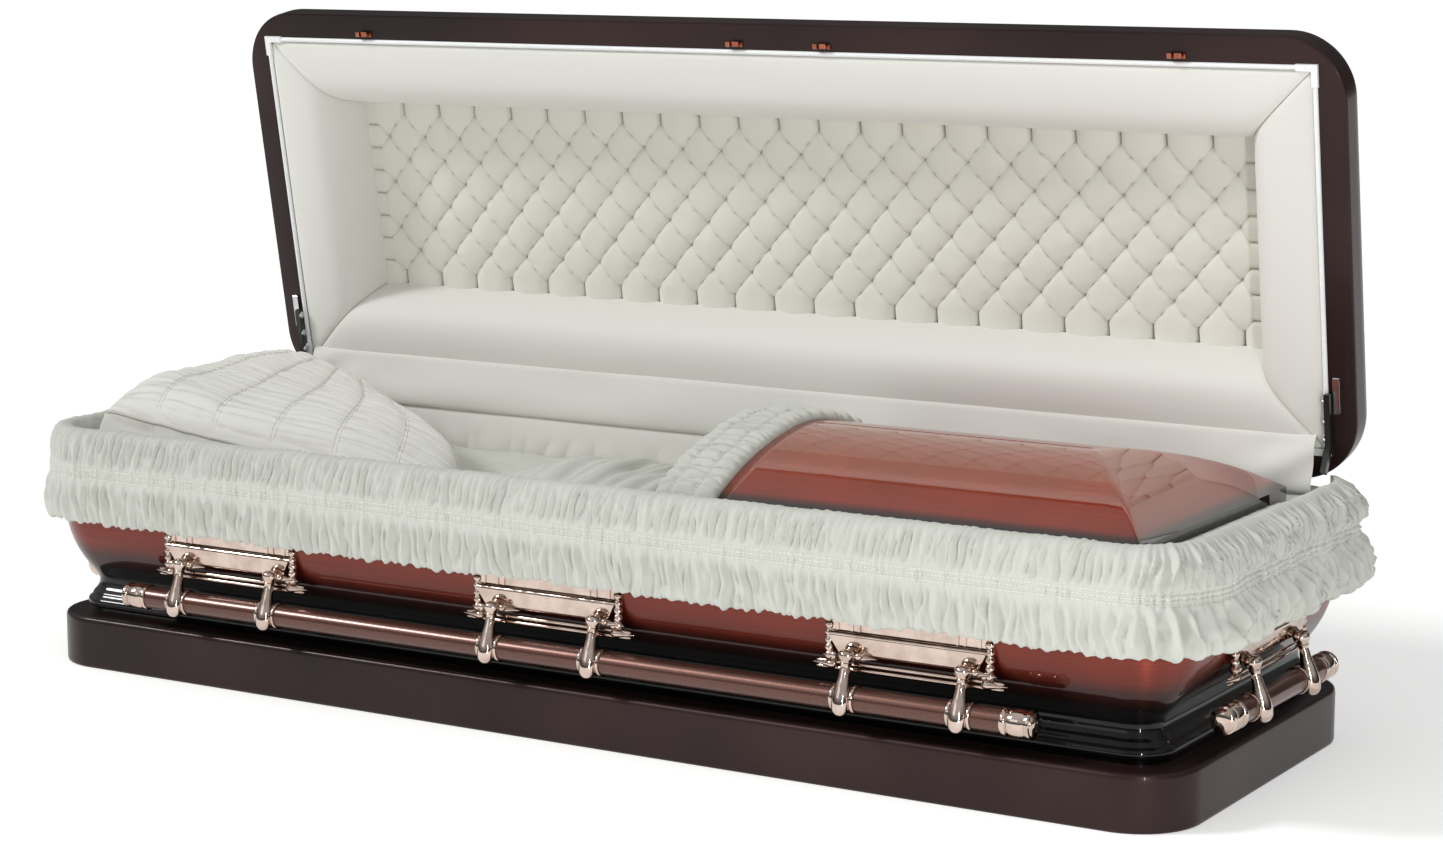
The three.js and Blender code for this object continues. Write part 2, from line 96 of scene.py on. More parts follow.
camera = bpy.data.objects.new("camera", bpy.data.cameras.new("camera"))
bpy.context.scene.collection.objects.link(camera)
camera.location = CAMERA_PLACE
camera.rotation_euler = (math.pi / 2 - CAMERA_DOWN, 0, CAMERA_TURN)
camera.data.sensor_fit = "HORIZONTAL"
camera.data.sensor_width = 36
camera.data.lens = FOCAL_PIXELS / PICTURE_WIDTH * camera.data.sensor_width
bpy.context.scene.camera = camera
print("lens", round(camera.data.lens, 1), "mm")

# %% [markdown]
# ## Nodes and colours
# Colours are written as sRGB hex values, as a paint chart gives them, and Blender's shaders want linear
# light. One function turns the first into the second, and one adds a node with its settings and links.

# %% Colour and node helpers
def linear(hex_colour):
    """The linear colour, with alpha, of an sRGB value such as "c08040"."""
    channels = [int(hex_colour[i:i + 2], 16) / 255 for i in (0, 2, 4)]
    return [c / 12.92 if c < 0.04045 else ((c + 0.055) / 1.055) ** 2.4 for c in channels] + [1.0]


def add_node(tree, kind, inputs=None, **settings):
    """Adds a node. inputs maps a socket's name or number to a value or to another node's output."""
    made = tree.nodes.new(kind)
    for name, value in settings.items():
        setattr(made, name, value)
    for name, value in (inputs or {}).items():
        if isinstance(value, bpy.types.NodeSocket):
            tree.links.new(value, made.inputs[name])
        else:
            made.inputs[name].default_value = value
    return made


def set_ramp(ramp_node, stops):
    """Sets a colour ramp's stops, each a place from 0 to 1 and a hex colour."""
    ramp = ramp_node.color_ramp
    while len(ramp.elements) < len(stops):
        ramp.elements.new(1.0)
    for element, (place, colour) in zip(ramp.elements, stops):
        element.position = place
        element.color = linear(colour)
    return ramp_node.outputs["Color"]


def new_finish(name, **values):
    """A material whose shader has the given plain values, with its tree and its Object coordinates."""
    material = bpy.data.materials.new(name)
    material.use_nodes = True
    tree = material.node_tree
    shader = tree.nodes["Principled BSDF"]
    for socket, value in values.items():
        shader.inputs[socket.replace("_", " ")].default_value = value
    coordinates = add_node(tree, "ShaderNodeTexCoord")
    return material, tree, shader, coordinates


def per_metre(size_mm):
    """The scale of a pattern whose blobs are about the given size."""
    return 1 / (size_mm * MM)

# %% [markdown]
# ## Light and floor
# The studio is white and soft: a bright sky dome that is darker at the horizon and behind the casket, so
# that gloss has something dark to show, a broad soft sun, and a tall strip that draws a line on the
# rounded corner.

# %% Light and floor
scene = bpy.context.scene
scene.view_settings.view_transform = "Standard"

world = bpy.data.worlds.new("studio")
world.use_nodes = True
scene.world = world
sky = world.node_tree
sky_coordinates = add_node(sky, "ShaderNodeTexCoord")
sky_axes = add_node(sky, "ShaderNodeSeparateXYZ", {"Vector": sky_coordinates.outputs["Generated"]})
sky_ramp = add_node(sky, "ShaderNodeValToRGB", {"Fac": sky_axes.outputs["Z"]})
sky_colour = set_ramp(sky_ramp, [(0.0, "39393a"), (0.1, "5c5c5d"), (0.4, "e6e7e9"), (1.0, "ffffff")])
sky_front = add_node(sky, "ShaderNodeMapRange", {
    "Value": sky_axes.outputs["Y"], "From Min": 0.15, "From Max": 0.6, "To Min": 1.0, "To Max": 0.3})
sky_shade = add_node(sky, "ShaderNodeVectorMath", {
    0: sky_colour, "Scale": sky_front.outputs["Result"]}, operation="SCALE")
sky.links.new(sky_shade.outputs["Vector"], sky.nodes["Background"].inputs["Color"])
sky.nodes["Background"].inputs["Strength"].default_value = 0.6


def add_light(name, kind, place, target, energy, **settings):
    """Adds a light at a place, aimed at a target."""
    data = bpy.data.lights.new(name, kind)
    data.energy = energy
    for key, value in settings.items():
        setattr(data, key, value)
    light = bpy.data.objects.new(name, data)
    scene.collection.objects.link(light)
    light.location = place
    light.rotation_euler = (Vector(target) - Vector(place)).to_track_quat("-Z", "Y").to_euler()
    return light


add_light("key", "SUN", (-5.0, -3.6, 5.2), (0, 0, 0.4), 1.5, angle=math.radians(12))
SHELL_CORNER = (1.0, -0.3, 0.25)
add_light("corner_strip", "AREA", (2.97, -2.82, 0.8), SHELL_CORNER, 34,
          shape="RECTANGLE", size=0.06, size_y=1.6)
add_light("front_box", "AREA", (-1.5, -5.0, 2.6), (0, 0, 0.3), 12,
          shape="RECTANGLE", size=3.0, size_y=1.6)

floor_mesh = bpy.data.meshes.new("floor")
FLOOR_HALF = 120
floor_corners = [(x * FLOOR_HALF, y * FLOOR_HALF, 0) for x, y in ((-1, -1), (1, -1), (1, 1), (-1, 1))]
floor_mesh.from_pydata(floor_corners, [], [(0, 1, 2, 3)])
studio_floor = bpy.data.objects.new("studio_floor", floor_mesh)
scene.collection.objects.link(studio_floor)
floor_paint, _, floor_shader, _ = new_finish("pale_floor", Roughness=0.9, Emission_Strength=0.42)
floor_shader.inputs["Base Color"].default_value = linear("f4f4f2")
floor_shader.inputs["Emission Color"].default_value = linear("ffffff")
floor_mesh.materials.append(floor_paint)
print("the floor is", 2 * FLOOR_HALF, "m wide")

# %% [markdown]
# ## Metal finishes
# The base and the lid wear a plum-brown metallic enamel, sprayed, so it is satin with a fine flake. The
# body is steel brushed lengthways under a tinted clear lacquer, shaded to black by hand at the mouldings.
# The hardware is plated: rose gold, copper and chrome.

# %% Plum enamel
def plum_enamel():
    """Sprayed metallic enamel: satin, with flakes of about a millimetre that barely show."""
    material, tree, shader, coordinates = new_finish(
        "plum_enamel", Metallic=0.3, Roughness=0.36, Specular_IOR_Level=0.18,
        Coat_Weight=0.15, Coat_Roughness=0.1)
    place = coordinates.outputs["Object"]
    flake = add_node(tree, "ShaderNodeTexNoise", {"Vector": place, "Scale": per_metre(1.1), "Detail": 1.0})
    drift = add_node(tree, "ShaderNodeTexNoise", {"Vector": place, "Scale": per_metre(340), "Detail": 2.0})
    mixed = add_node(tree, "ShaderNodeMath", {
        0: flake.outputs["Fac"], 1: 0.35, 2: drift.outputs["Fac"]}, operation="MULTIPLY_ADD")
    ramp = add_node(tree, "ShaderNodeValToRGB", {"Fac": mixed.outputs["Value"]})
    colour = set_ramp(ramp, [(0.35, "1f1413"), (0.65, "2b1c1b"), (0.95, "3a2726")])
    tree.links.new(colour, shader.inputs["Base Color"])
    peel = add_node(tree, "ShaderNodeTexNoise", {"Vector": place, "Scale": per_metre(5), "Detail": 1.0})
    bump = add_node(tree, "ShaderNodeBump", {
        "Height": peel.outputs["Fac"], "Strength": 0.04, "Distance": 1.0 * MM})
    tree.links.new(bump.outputs["Normal"], shader.inputs["Normal"])
    return material

# %% Brushed lacquer
# Brush marks are about half a metre long. Real ones are hair fine, and these are 2.4 mm wide, to show.
BRUSH_MARKS_PER_METRE = (2.0, 420.0, 1.0)


def brushed_lacquer(name, tint, shade_by, **values):
    """Clear tinted lacquer over brushed steel. shade_by gives the stops of the hand-sprayed shading."""
    material, tree, shader, coordinates = new_finish(name, **values)
    axes = add_node(tree, "ShaderNodeSeparateXYZ", {"Vector": coordinates.outputs["Object"]})
    uv_map = add_node(tree, "ShaderNodeMapping", {
        "Vector": coordinates.outputs["UV"], "Scale": BRUSH_MARKS_PER_METRE})
    grain = add_node(tree, "ShaderNodeTexNoise", {
        "Vector": uv_map.outputs["Vector"], "Scale": 1.0, "Detail": 4.0, "Roughness": 0.65})
    cloud = add_node(tree, "ShaderNodeTexNoise", {
        "Vector": coordinates.outputs["Object"], "Scale": per_metre(120), "Detail": 2.0})
    if tint == "height":
        reach = axes.outputs["Z"]
    else:
        reach = add_node(tree, "ShaderNodeAttribute", attribute_name=tint).outputs["Fac"]
    low, high, stops = shade_by
    part = add_node(tree, "ShaderNodeMapRange", {
        "Value": reach, "From Min": low * MM, "From Max": high * MM})
    ramp = add_node(tree, "ShaderNodeValToRGB", {"Fac": part.outputs["Result"]})
    shaded = set_ramp(ramp, stops)
    streak = add_node(tree, "ShaderNodeMapRange", {
        "Value": grain.outputs["Fac"], "From Min": 0.3, "From Max": 0.7, "To Min": 0.8, "To Max": 1.16})
    tone = add_node(tree, "ShaderNodeMapRange", {
        "Value": cloud.outputs["Fac"], "From Min": 0.3, "From Max": 0.7, "To Min": 0.9, "To Max": 1.08})
    strength = add_node(tree, "ShaderNodeMath", {
        0: streak.outputs["Result"], 1: tone.outputs["Result"]}, operation="MULTIPLY")
    colour = add_node(tree, "ShaderNodeVectorMath", {
        0: shaded, "Scale": strength.outputs["Value"]}, operation="SCALE")
    tree.links.new(colour.outputs["Vector"], shader.inputs["Base Color"])
    bump = add_node(tree, "ShaderNodeBump", {
        "Height": grain.outputs["Fac"], "Strength": 0.05, "Distance": 0.4 * MM})
    tree.links.new(bump.outputs["Normal"], shader.inputs["Normal"])
    brushing = add_node(tree, "ShaderNodeTangent", direction_type="UV_MAP", uv_map="surface")
    tree.links.new(brushing.outputs["Tangent"], shader.inputs["Tangent"])
    return material

# %% Plated and painted hardware
def plated(name, dull, bright, roughness, wear_mm):
    """Polished plate: a mirror whose colour and gloss drift a little from place to place."""
    material, tree, shader, coordinates = new_finish(name, Metallic=1.0)
    drift = add_node(tree, "ShaderNodeTexNoise", {
        "Vector": coordinates.outputs["Object"], "Scale": per_metre(wear_mm), "Detail": 3.0})
    ramp = add_node(tree, "ShaderNodeValToRGB", {"Fac": drift.outputs["Fac"]})
    colour = set_ramp(ramp, [(0.35, dull), (0.65, bright)])
    tree.links.new(colour, shader.inputs["Base Color"])
    gloss = add_node(tree, "ShaderNodeMapRange", {
        "Value": drift.outputs["Fac"], "From Min": 0.3, "From Max": 0.7,
        "To Min": roughness * 0.7, "To Max": roughness * 1.4})
    tree.links.new(gloss.outputs["Result"], shader.inputs["Roughness"])
    return material


def speckled_paint(name, dark, light, flake_mm, **values):
    """Paint or moulded plastic whose colour is broken up by fine flakes or grain."""
    material, tree, shader, coordinates = new_finish(name, **values)
    flake = add_node(tree, "ShaderNodeTexNoise", {
        "Vector": coordinates.outputs["Object"], "Scale": per_metre(flake_mm), "Roughness": 0.7})
    ramp = add_node(tree, "ShaderNodeValToRGB", {"Fac": flake.outputs["Fac"]})
    tree.links.new(set_ramp(ramp, [(0.38, dark), (0.66, light)]), shader.inputs["Base Color"])
    bump = add_node(tree, "ShaderNodeBump", {
        "Height": flake.outputs["Fac"], "Strength": 0.06, "Distance": 0.3 * MM})
    tree.links.new(bump.outputs["Normal"], shader.inputs["Normal"])
    return material


PLUM = plum_enamel()
SHELL_SHADING = (150, 290, [
    (0.0, "050303"), (0.13, "0b0504"), (0.32, "38130c"), (0.5, "762919"), (0.7, "88321e"), (1.0, "8b3521")])
LACQUER = brushed_lacquer(
    "brushed_red_lacquer", "height", SHELL_SHADING,
    Metallic=0.7, Roughness=0.45, Anisotropic=0.9, Anisotropic_Rotation=0.25, Specular_IOR_Level=0.2,
    Coat_Weight=0.6, Coat_Roughness=0.05)
PANEL_SHADING = (0, 60, [
    (0.0, "050303"), (0.09, "0a0505"), (0.22, "481707"), (0.4, "8d2e11"), (1.0, "983413")])
PANEL_LACQUER = brushed_lacquer(
    "polished_red_lacquer", "from_edge", PANEL_SHADING,
    Metallic=0.25, Roughness=0.26, Specular_IOR_Level=0.05,
    Coat_Weight=1.0, Coat_Roughness=0.02, Coat_IOR=2.0)
BAR_PAINT = speckled_paint(
    "brown_metallic", "4a2d26", "704a3e", 1.4,
    Metallic=0.6, Roughness=0.3, Coat_Weight=0.4, Coat_Roughness=0.1)
ROSE_GOLD = plated("rose_gold_plate", "c0ab9f", "d6c4b9", 0.09, 30)
COPPER = plated("copper_plate", "8f5542", "ab6a54", 0.28, 8)
CHROME = plated("chrome_plate", "bcbcbe", "d2d2d4", 0.1, 20)
BLACK_STEEL = speckled_paint(
    "black_enamel", "0c0c0c", "1a191a", 2.0,
    Metallic=0.2, Roughness=0.38, Coat_Weight=0.3, Coat_Roughness=0.2)
WHITE_PLASTIC = speckled_paint(
    "moulded_white_plastic", "eceeee", "f6f8f8", 3.0, Roughness=0.35)
print(len(bpy.data.materials), "materials so far")

# %% [markdown]
# ## Cloth
# The linings are cream crepe. Up close it is a fine uneven weave, so it has no gloss and a little sheen at
# grazing angles. Down in its folds, where light has bounced from cloth to cloth, it looks a touch greener
# and darker, and this is painted into its colour as painted shade. Threads of a third of a millimetre are
# too fine for the picture, so the grain is drawn at about one and a half.

# %% Cloth finish
def crepe(name, light, crease_shade_colour, grain_mm, grain_depth):
    """Woven cloth. Its attribute fold is 0 down in a crease and 1 on a ridge. The colour is painted darker
    and greener where fold is low, as painted shade in the creases.
    """
    material, tree, shader, coordinates = new_finish(
        name, Roughness=0.92, Sheen_Weight=0.25, Sheen_Roughness=0.4, Specular_IOR_Level=0.2)
    fold = add_node(tree, "ShaderNodeAttribute", attribute_name="fold")
    place = coordinates.outputs["Object"]
    weave = add_node(tree, "ShaderNodeTexNoise", {
        "Vector": place, "Scale": per_metre(grain_mm), "Detail": 3.0, "Roughness": 0.7})
    mottle = add_node(tree, "ShaderNodeTexNoise", {"Vector": place, "Scale": per_metre(18 * grain_mm)})
    level = add_node(tree, "ShaderNodeMath", {
        0: mottle.outputs["Fac"], 1: 0.25, 2: fold.outputs["Fac"]}, operation="MULTIPLY_ADD")
    ramp = add_node(tree, "ShaderNodeValToRGB", {"Fac": level.outputs["Value"]})
    # Painted shade: the colour runs to the darker crease colour where the fold attribute is low.
    colour = set_ramp(ramp, [(0.05, crease_shade_colour), (0.6, light)])
    tree.links.new(colour, shader.inputs["Base Color"])
    bump = add_node(tree, "ShaderNodeBump", {
        "Height": weave.outputs["Fac"], "Strength": 0.35, "Distance": grain_depth * MM})
    tree.links.new(bump.outputs["Normal"], shader.inputs["Normal"])
    return material


# The second colour of each crepe is painted shade for its creases.
GATHERED_CREPE = crepe("gathered_cream_crepe", "cbccc4", "8f9287", 1.5, 0.5)
SMOOTH_CREPE = crepe("smooth_cream_crepe", "e0dfd9", "c9c9c0", 1.3, 0.25)
TUFTED_CREPE = crepe("tufted_cream_crepe", "dddcd2", "aeac9c", 1.4, 0.35)
THREAD = speckled_paint("white_thread", "e2e2da", "f2f2ec", 1.0, Roughness=0.8)
print(len(bpy.data.materials), "materials with the cloth")

# %% [markdown]
# ## Shapes
# Most pieces are skins over rows of points: a profile carried round the casket's plan, a section run
# along an edge, or a profile spun round an axis. A solid here is its points, in millimetres, and its
# faces. Sheets stay open, and everything else is closed.

# %% Curves and skins
def smooth(knots, step):
    """A smooth curve through the knots, cut into pieces of about the given length."""
    knots = np.asarray(knots, float)
    gaps = np.linalg.norm(np.diff(knots, axis=0), axis=1)[:, None]
    slopes = np.diff(knots, axis=0) / gaps
    inner = (slopes[:-1] * gaps[1:] + slopes[1:] * gaps[:-1]) / (gaps[:-1] + gaps[1:])
    tangents = np.vstack([slopes[:1], inner, slopes[-1:]])
    spans = []
    for i, gap in enumerate(gaps[:, 0]):
        count = max(1, round(gap / step))
        t = np.linspace(0, 1, count, endpoint=False)[:, None]
        spans.append(
            (2 * t**3 - 3 * t**2 + 1) * knots[i] + (t**3 - 2 * t**2 + t) * gap * tangents[i]
            + (3 * t**2 - 2 * t**3) * knots[i + 1] + (t**3 - t**2) * gap * tangents[i + 1])
    return np.vstack(spans + [knots[-1:]])


def lengths(points):
    """The distance travelled along a row of points, from its start."""
    return np.concatenate([[0], np.cumsum(np.linalg.norm(np.diff(points, axis=0), axis=1))])


def at_places(places, travelled, points):
    """The points at these distances along a row of points."""
    columns = np.asarray(points, float).T
    return np.stack([np.interp(places, travelled, column) for column in columns], axis=-1)


def grid_faces(rows, columns, around=False):
    """Quads between the rows of a grid. around joins the last column to the first."""
    row = np.arange(rows - 1)[:, None] * columns
    column = np.arange(columns if around else columns - 1)[None, :]
    following = (column + 1) % columns
    corners = [row + column, row + following, row + columns + following, row + columns + column]
    return np.stack(corners, axis=-1).reshape(-1, 4).tolist()


def skin(rings, around=True, capped=True):
    """A solid over rows of points, closed at both ends where it is capped."""
    rows, columns = rings.shape[:2]
    faces = grid_faces(rows, columns, around)
    if capped:
        faces.append(list(range(columns))[::-1])
        faces.append(list(range((rows - 1) * columns, rows * columns)))
    return rings.reshape(-1, 3), faces


def lathe(profile, sides, along="z"):
    """Spins pairs of radius and height round the z axis, or round x."""
    profile = np.asarray(profile, float)
    angle = np.linspace(0, 2 * math.pi, sides, endpoint=False)
    ring = np.stack([np.cos(angle), np.sin(angle)], axis=-1)
    rings = np.zeros((len(profile), sides, 3))
    rings[:, :, :2] = np.maximum(profile[:, 0], 0.01)[:, None, None] * ring
    rings[:, :, 2] = profile[:, 1][:, None]
    return skin(rings if along == "z" else rings[:, :, [2, 0, 1]])


def together(*solids):
    """Several solids as one."""
    points, faces, count = [], [], 0
    for some_points, some_faces in solids:
        points.append(some_points)
        faces += [[index + count for index in face] for face in some_faces]
        count += len(some_points)
    return np.vstack(points), faces


def moved(solid, shift=(0, 0, 0), scale=(1, 1, 1), tilt=0.0):
    """A solid scaled, tilted about the x axis, then shifted."""
    points = solid[0] * np.array(scale, float)
    c, s = math.cos(tilt), math.sin(tilt)
    turn = np.array([[1, 0, 0], [0, c, -s], [0, s, c]])
    return points @ turn.T + np.array(shift, float), solid[1]

# %% Pieces
def make_object(name, solid, finish, closed=True, sharp_degrees=38, attributes=None, uv=None):
    """A mesh object from a solid. attributes hold a number for each point, uv a pair for each corner."""
    points, faces = solid
    mesh = bpy.data.meshes.new(name)
    mesh.from_pydata((points * MM).tolist(), [], faces)
    for key, values in (attributes or {}).items():
        layer = mesh.attributes.new(key, "FLOAT", "POINT")
        layer.data.foreach_set("value", np.asarray(values, np.float32).ravel())
    if uv is not None:
        layer = mesh.uv_layers.new(name="surface")
        flat = np.zeros(2 * len(mesh.loops), np.float32)
        flat[:uv.size] = uv.ravel()
        layer.data.foreach_set("uv", flat)
    shape = bmesh.new()
    shape.from_mesh(mesh)
    bmesh.ops.remove_doubles(shape, verts=shape.verts, dist=0.02 * MM)
    if closed:
        bmesh.ops.recalc_face_normals(shape, faces=shape.faces)
    shape.to_mesh(mesh)
    shape.free()
    mesh.shade_smooth()
    mesh.set_sharp_from_angle(angle=math.radians(sharp_degrees))
    mesh.materials.append(finish)
    made = bpy.data.objects.new(name, mesh)
    scene.collection.objects.link(made)
    return made


def settle(made, body, stands_for):
    """Lets a finished piece ride on its body, if it has one, and hides the CAD nodes it stands for."""
    if body:
        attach(made, body)
    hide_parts(*stands_for)
    print(made.name, "has", len(made.data.polygons), "faces")
    return made


def product_uv(along, up):
    """Corner coordinates, in metres, of a grid whose columns and rows lie at these distances."""
    u = np.stack([along[:-1], along[1:], along[1:], along[:-1]], axis=-1)[None, :, :]
    v = np.stack([up[:-1], up[:-1], up[1:], up[1:]], axis=-1)[:, None, :]
    shape = (len(up) - 1, len(along) - 1, 4)
    return MM * np.stack([np.broadcast_to(u, shape), np.broadcast_to(v, shape)], axis=-1)

# %% [markdown]
# ## Copies
# Plates, arms, ferrules and stitches repeat. Each is made once, and a node tree puts a copy on every
# point of a small mesh, turned by that point's attribute or along a path. The copies are made real at the
# end of the tree, so they come out as plain meshes.

# %% Node trees
SOCKETS = {
    "Geometry": "NodeSocketGeometry", "Piece": "NodeSocketObject", "Finish": "NodeSocketMaterial",
    "Spacing": "NodeSocketFloat", "Radius": "NodeSocketFloat"}


def start_tree(name, *wanted):
    """A node tree that takes geometry, the wanted inputs and a finish, and the node that gives them."""
    tree = bpy.data.node_groups.new(name, "GeometryNodeTree")
    for socket in ("Geometry", *wanted, "Finish"):
        tree.interface.new_socket(socket, in_out="INPUT", socket_type=SOCKETS[socket])
    tree.interface.new_socket("Geometry", in_out="OUTPUT", socket_type=SOCKETS["Geometry"])
    return tree, add_node(tree, "NodeGroupInput")


def end_tree(tree, given, geometry):
    """Makes the copies real, gives them their finish and hands them out."""
    real = add_node(tree, "GeometryNodeRealizeInstances", {"Geometry": geometry})
    coated = add_node(tree, "GeometryNodeSetMaterial", {
        "Geometry": real.outputs["Geometry"], "Material": given.outputs["Finish"]})
    add_node(tree, "NodeGroupOutput", {"Geometry": coated.outputs["Geometry"]})
    return tree


def copies_tree():
    """Puts the piece on every point, turned by the point's own angles."""
    tree, given = start_tree("copies_on_points", "Piece")
    piece = add_node(tree, "GeometryNodeObjectInfo", {"Object": given.outputs["Piece"]})
    turn = add_node(tree, "GeometryNodeInputNamedAttribute", {"Name": "turn"}, data_type="FLOAT_VECTOR")
    rotation = add_node(tree, "FunctionNodeEulerToRotation", {"Euler": turn.outputs["Attribute"]})
    placed = add_node(tree, "GeometryNodeInstanceOnPoints", {
        "Points": given.outputs["Geometry"], "Instance": piece.outputs["Geometry"],
        "Rotation": rotation.outputs["Rotation"]})
    return end_tree(tree, given, placed.outputs["Instances"])


def run_tree(name, start_mesh, tree, values):
    """Runs a node tree on a mesh and returns an object that holds the plain result."""
    holder = bpy.data.objects.new(name + "_start", start_mesh)
    scene.collection.objects.link(holder)
    modifier = holder.modifiers.new("tree", "NODES")
    modifier.node_group = tree
    for item in tree.interface.items_tree:
        if item.in_out == "INPUT" and item.name in values:
            modifier[item.identifier] = values[item.name]
    graph = bpy.context.evaluated_depsgraph_get()
    result = bpy.data.meshes.new_from_object(holder.evaluated_get(graph), depsgraph=graph)
    result.name = name
    bpy.data.objects.remove(holder)
    made = bpy.data.objects.new(name, result)
    scene.collection.objects.link(made)
    return made


def stitches_tree():
    """Puts the piece along a path at a spacing, each copy turned to run with the path."""
    tree, given = start_tree("stitches_along_path", "Piece", "Spacing")
    piece = add_node(tree, "GeometryNodeObjectInfo", {"Object": given.outputs["Piece"]})
    path = add_node(tree, "GeometryNodeMeshToCurve", {"Mesh": given.outputs["Geometry"]})
    spots = add_node(tree, "GeometryNodeCurveToPoints", {
        "Curve": path.outputs["Curve"], "Length": given.outputs["Spacing"]}, mode="LENGTH")
    along_path = add_node(tree, "FunctionNodeAlignRotationToVector", {
        "Vector": spots.outputs["Tangent"]}, axis="X")
    placed = add_node(tree, "GeometryNodeInstanceOnPoints", {
        "Points": spots.outputs["Points"], "Instance": piece.outputs["Geometry"],
        "Rotation": along_path.outputs["Rotation"]})
    return end_tree(tree, given, placed.outputs["Instances"])


COPIES = copies_tree()
STITCHES = stitches_tree()
STITCH_SPACING = 6.5
THREAD_PROFILE = [(0, -2.6), (0.7, -1.6), (0.8, 1.6), (0, 2.6)]
print("trees:", COPIES.name, "and", STITCHES.name)

# %% Stitches and copies


def stitches(name, paths):
    """Rows of small thread stitches along open paths."""
    points, links = [], []
    for path in paths:
        links += [(len(points) + i, len(points) + i + 1) for i in range(len(path) - 1)]
        points += list(path)
    rows = bpy.data.meshes.new(name + "_rows")
    rows.from_pydata((np.array(points) * MM).tolist(), links, [])
    thread = make_object("thread", lathe(THREAD_PROFILE, 6, "x"), THREAD)
    made = run_tree(name, rows, STITCHES, {
        "Piece": thread, "Spacing": STITCH_SPACING * MM, "Finish": THREAD})
    bpy.data.objects.remove(thread)
    return made


def copies(name, original, places, turns, finish):
    """Copies of an object at places in millimetres, each turned by its own angles about x, y and z."""
    spots = bpy.data.meshes.new(name + "_spots")
    spots.from_pydata((np.asarray(places) * MM).tolist(), [], [])
    layer = spots.attributes.new("turn", "FLOAT_VECTOR", "POINT")
    layer.data.foreach_set("vector", np.asarray(turns, np.float32).ravel())
    return run_tree(name, spots, COPIES, {"Piece": original, "Finish": finish})

# %% [markdown]
# ## Plan of the casket
# Base, body and overlay all follow one rounded rectangle. Each point on it knows which way is out, so a
# profile is a list of distances in from this edge and heights.

# %% Plan outline
PLAN_RADIUS = 102
CORNER_STEPS = 18
STRAIGHT_STEP = 60


def casket_outline():
    """Points on the base's edge from the middle of the back round by the head end, their out directions
    and their distances from the start."""
    places, outs = [(0.0, HALF_WIDTH)], [(0.0, 1.0)]
    for number, (side_x, side_y) in enumerate([(-1, 1), (-1, -1), (1, -1), (1, 1)]):
        middle = (side_x * (HALF_LENGTH - PLAN_RADIUS), side_y * (HALF_WIDTH - PLAN_RADIUS))
        for step in range(CORNER_STEPS + 1):
            angle = math.pi / 2 * (number + 1 + step / CORNER_STEPS)
            out = (math.cos(angle), math.sin(angle))
            places.append((middle[0] + PLAN_RADIUS * out[0], middle[1] + PLAN_RADIUS * out[1]))
            outs.append(out)
    places.append(places[0])
    outs.append(outs[0])
    travelled = lengths(np.array(places))
    wanted = [np.linspace(a, b, max(1, round((b - a) / STRAIGHT_STEP)), endpoint=False)
              for a, b in zip(travelled, travelled[1:])]
    wanted = np.concatenate(wanted + [travelled[-1:]])
    return at_places(wanted, travelled, places), at_places(wanted, travelled, outs), wanted


EDGE, EDGE_OUT, EDGE_LENGTH = casket_outline()
print("the plan is", round(EDGE_LENGTH[-1]), "mm round")


def plan_rings(profile):
    """Closed rings round the plan, one for each pair of inset and height."""
    profile = np.asarray(profile, float)
    rings = np.zeros((len(profile), len(EDGE) - 1, 3))
    rings[:, :, :2] = EDGE[None, :-1] - profile[:, 0][:, None, None] * EDGE_OUT[None, :-1]
    rings[:, :, 2] = profile[:, 1][:, None]
    return rings


def plan_piece(name, profile, finish):
    """A piece whose profile runs round the plan, with coordinates along the edge and up the profile."""
    profile = np.asarray(profile, float)
    uv = product_uv(EDGE_LENGTH, lengths(profile))
    made = make_object(name + "_finish", skin(plan_rings(profile)), finish, uv=uv)
    return settle(made, "casket_body", [name])

# %% [markdown]
# ## Base and body
# The base is a folded steel plinth with a rolled top edge. The body rises from a foot bead through a
# deep cove and flares to an upright side. On the real one this is pressed sheet, so both are smooth
# profiles with real radii, and the body has an inside wall and a floor.

# %% Base and body
base_profile = np.vstack([
    [(8, 0)], smooth([(4, 0), (1.6, 1.2), (0.3, 4), (0, 9)], 2), smooth([(0, 40), (0, 78)], 20),
    smooth([(0.4, 81.5), (2.2, 85.3), (5.5, 87.4), (10, BASE_TOP)], 1.5), [(44, BASE_TOP + 0.3)]])
plan_piece("base_plinth", base_profile, PLUM)

SHELL_FOOT = BASE_TOP + 0.4
WALL = 1.8
shell_side = smooth([
    (47, SHELL_FOOT), (45.5, 94), (41, 96.5), (38, 102), (38.6, 108), (43, 112.5), (45.5, 114.5),
    (46.5, 118), (51, 123), (56.5, 131), (58.6, 139), (55.6, 149), (48, 160), (40, 170), (32, 181.5),
    (23.5, 196), (16, 212.5), (10.5, 229), (7, 246), (5, 275), (4.5, 320), (4.5, RIM - 4)], 3)
shell_inside = (shell_side[6:] + (WALL, -0.5))[::-1]
shell_profile = np.vstack([shell_side, [(5.2, RIM - 1), (7, RIM)], shell_inside, [(50, SHELL_FOOT + WALL)]])
plan_piece("shell", shell_profile, LACQUER)

# %% [markdown]
# ## Foot panel
# A hollow lacquered cover over the foot half, with hipped corners at the foot. Its height depends only
# on the distance from its edge, so one grid runs up from the edge, round front, end and back, and the
# hips fall where the rows turn. Each point keeps its distance from the edge, which the shading reads.

# %% Foot panel
panel_low, panel_high = (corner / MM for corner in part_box("foot_panel"))
PANEL_HALF = panel_high.y
PANEL_START = panel_low.x
PANEL_END = panel_high.x
PANEL_EDGE_Z = 396
CREASE = 140
CREASE_RISE = 60
CROWN_RISE = panel_high.z - PANEL_EDGE_Z
FACE_BOW = 5.5
HIP_STEEPNESS = 1.35
HIP_ROUND = 7


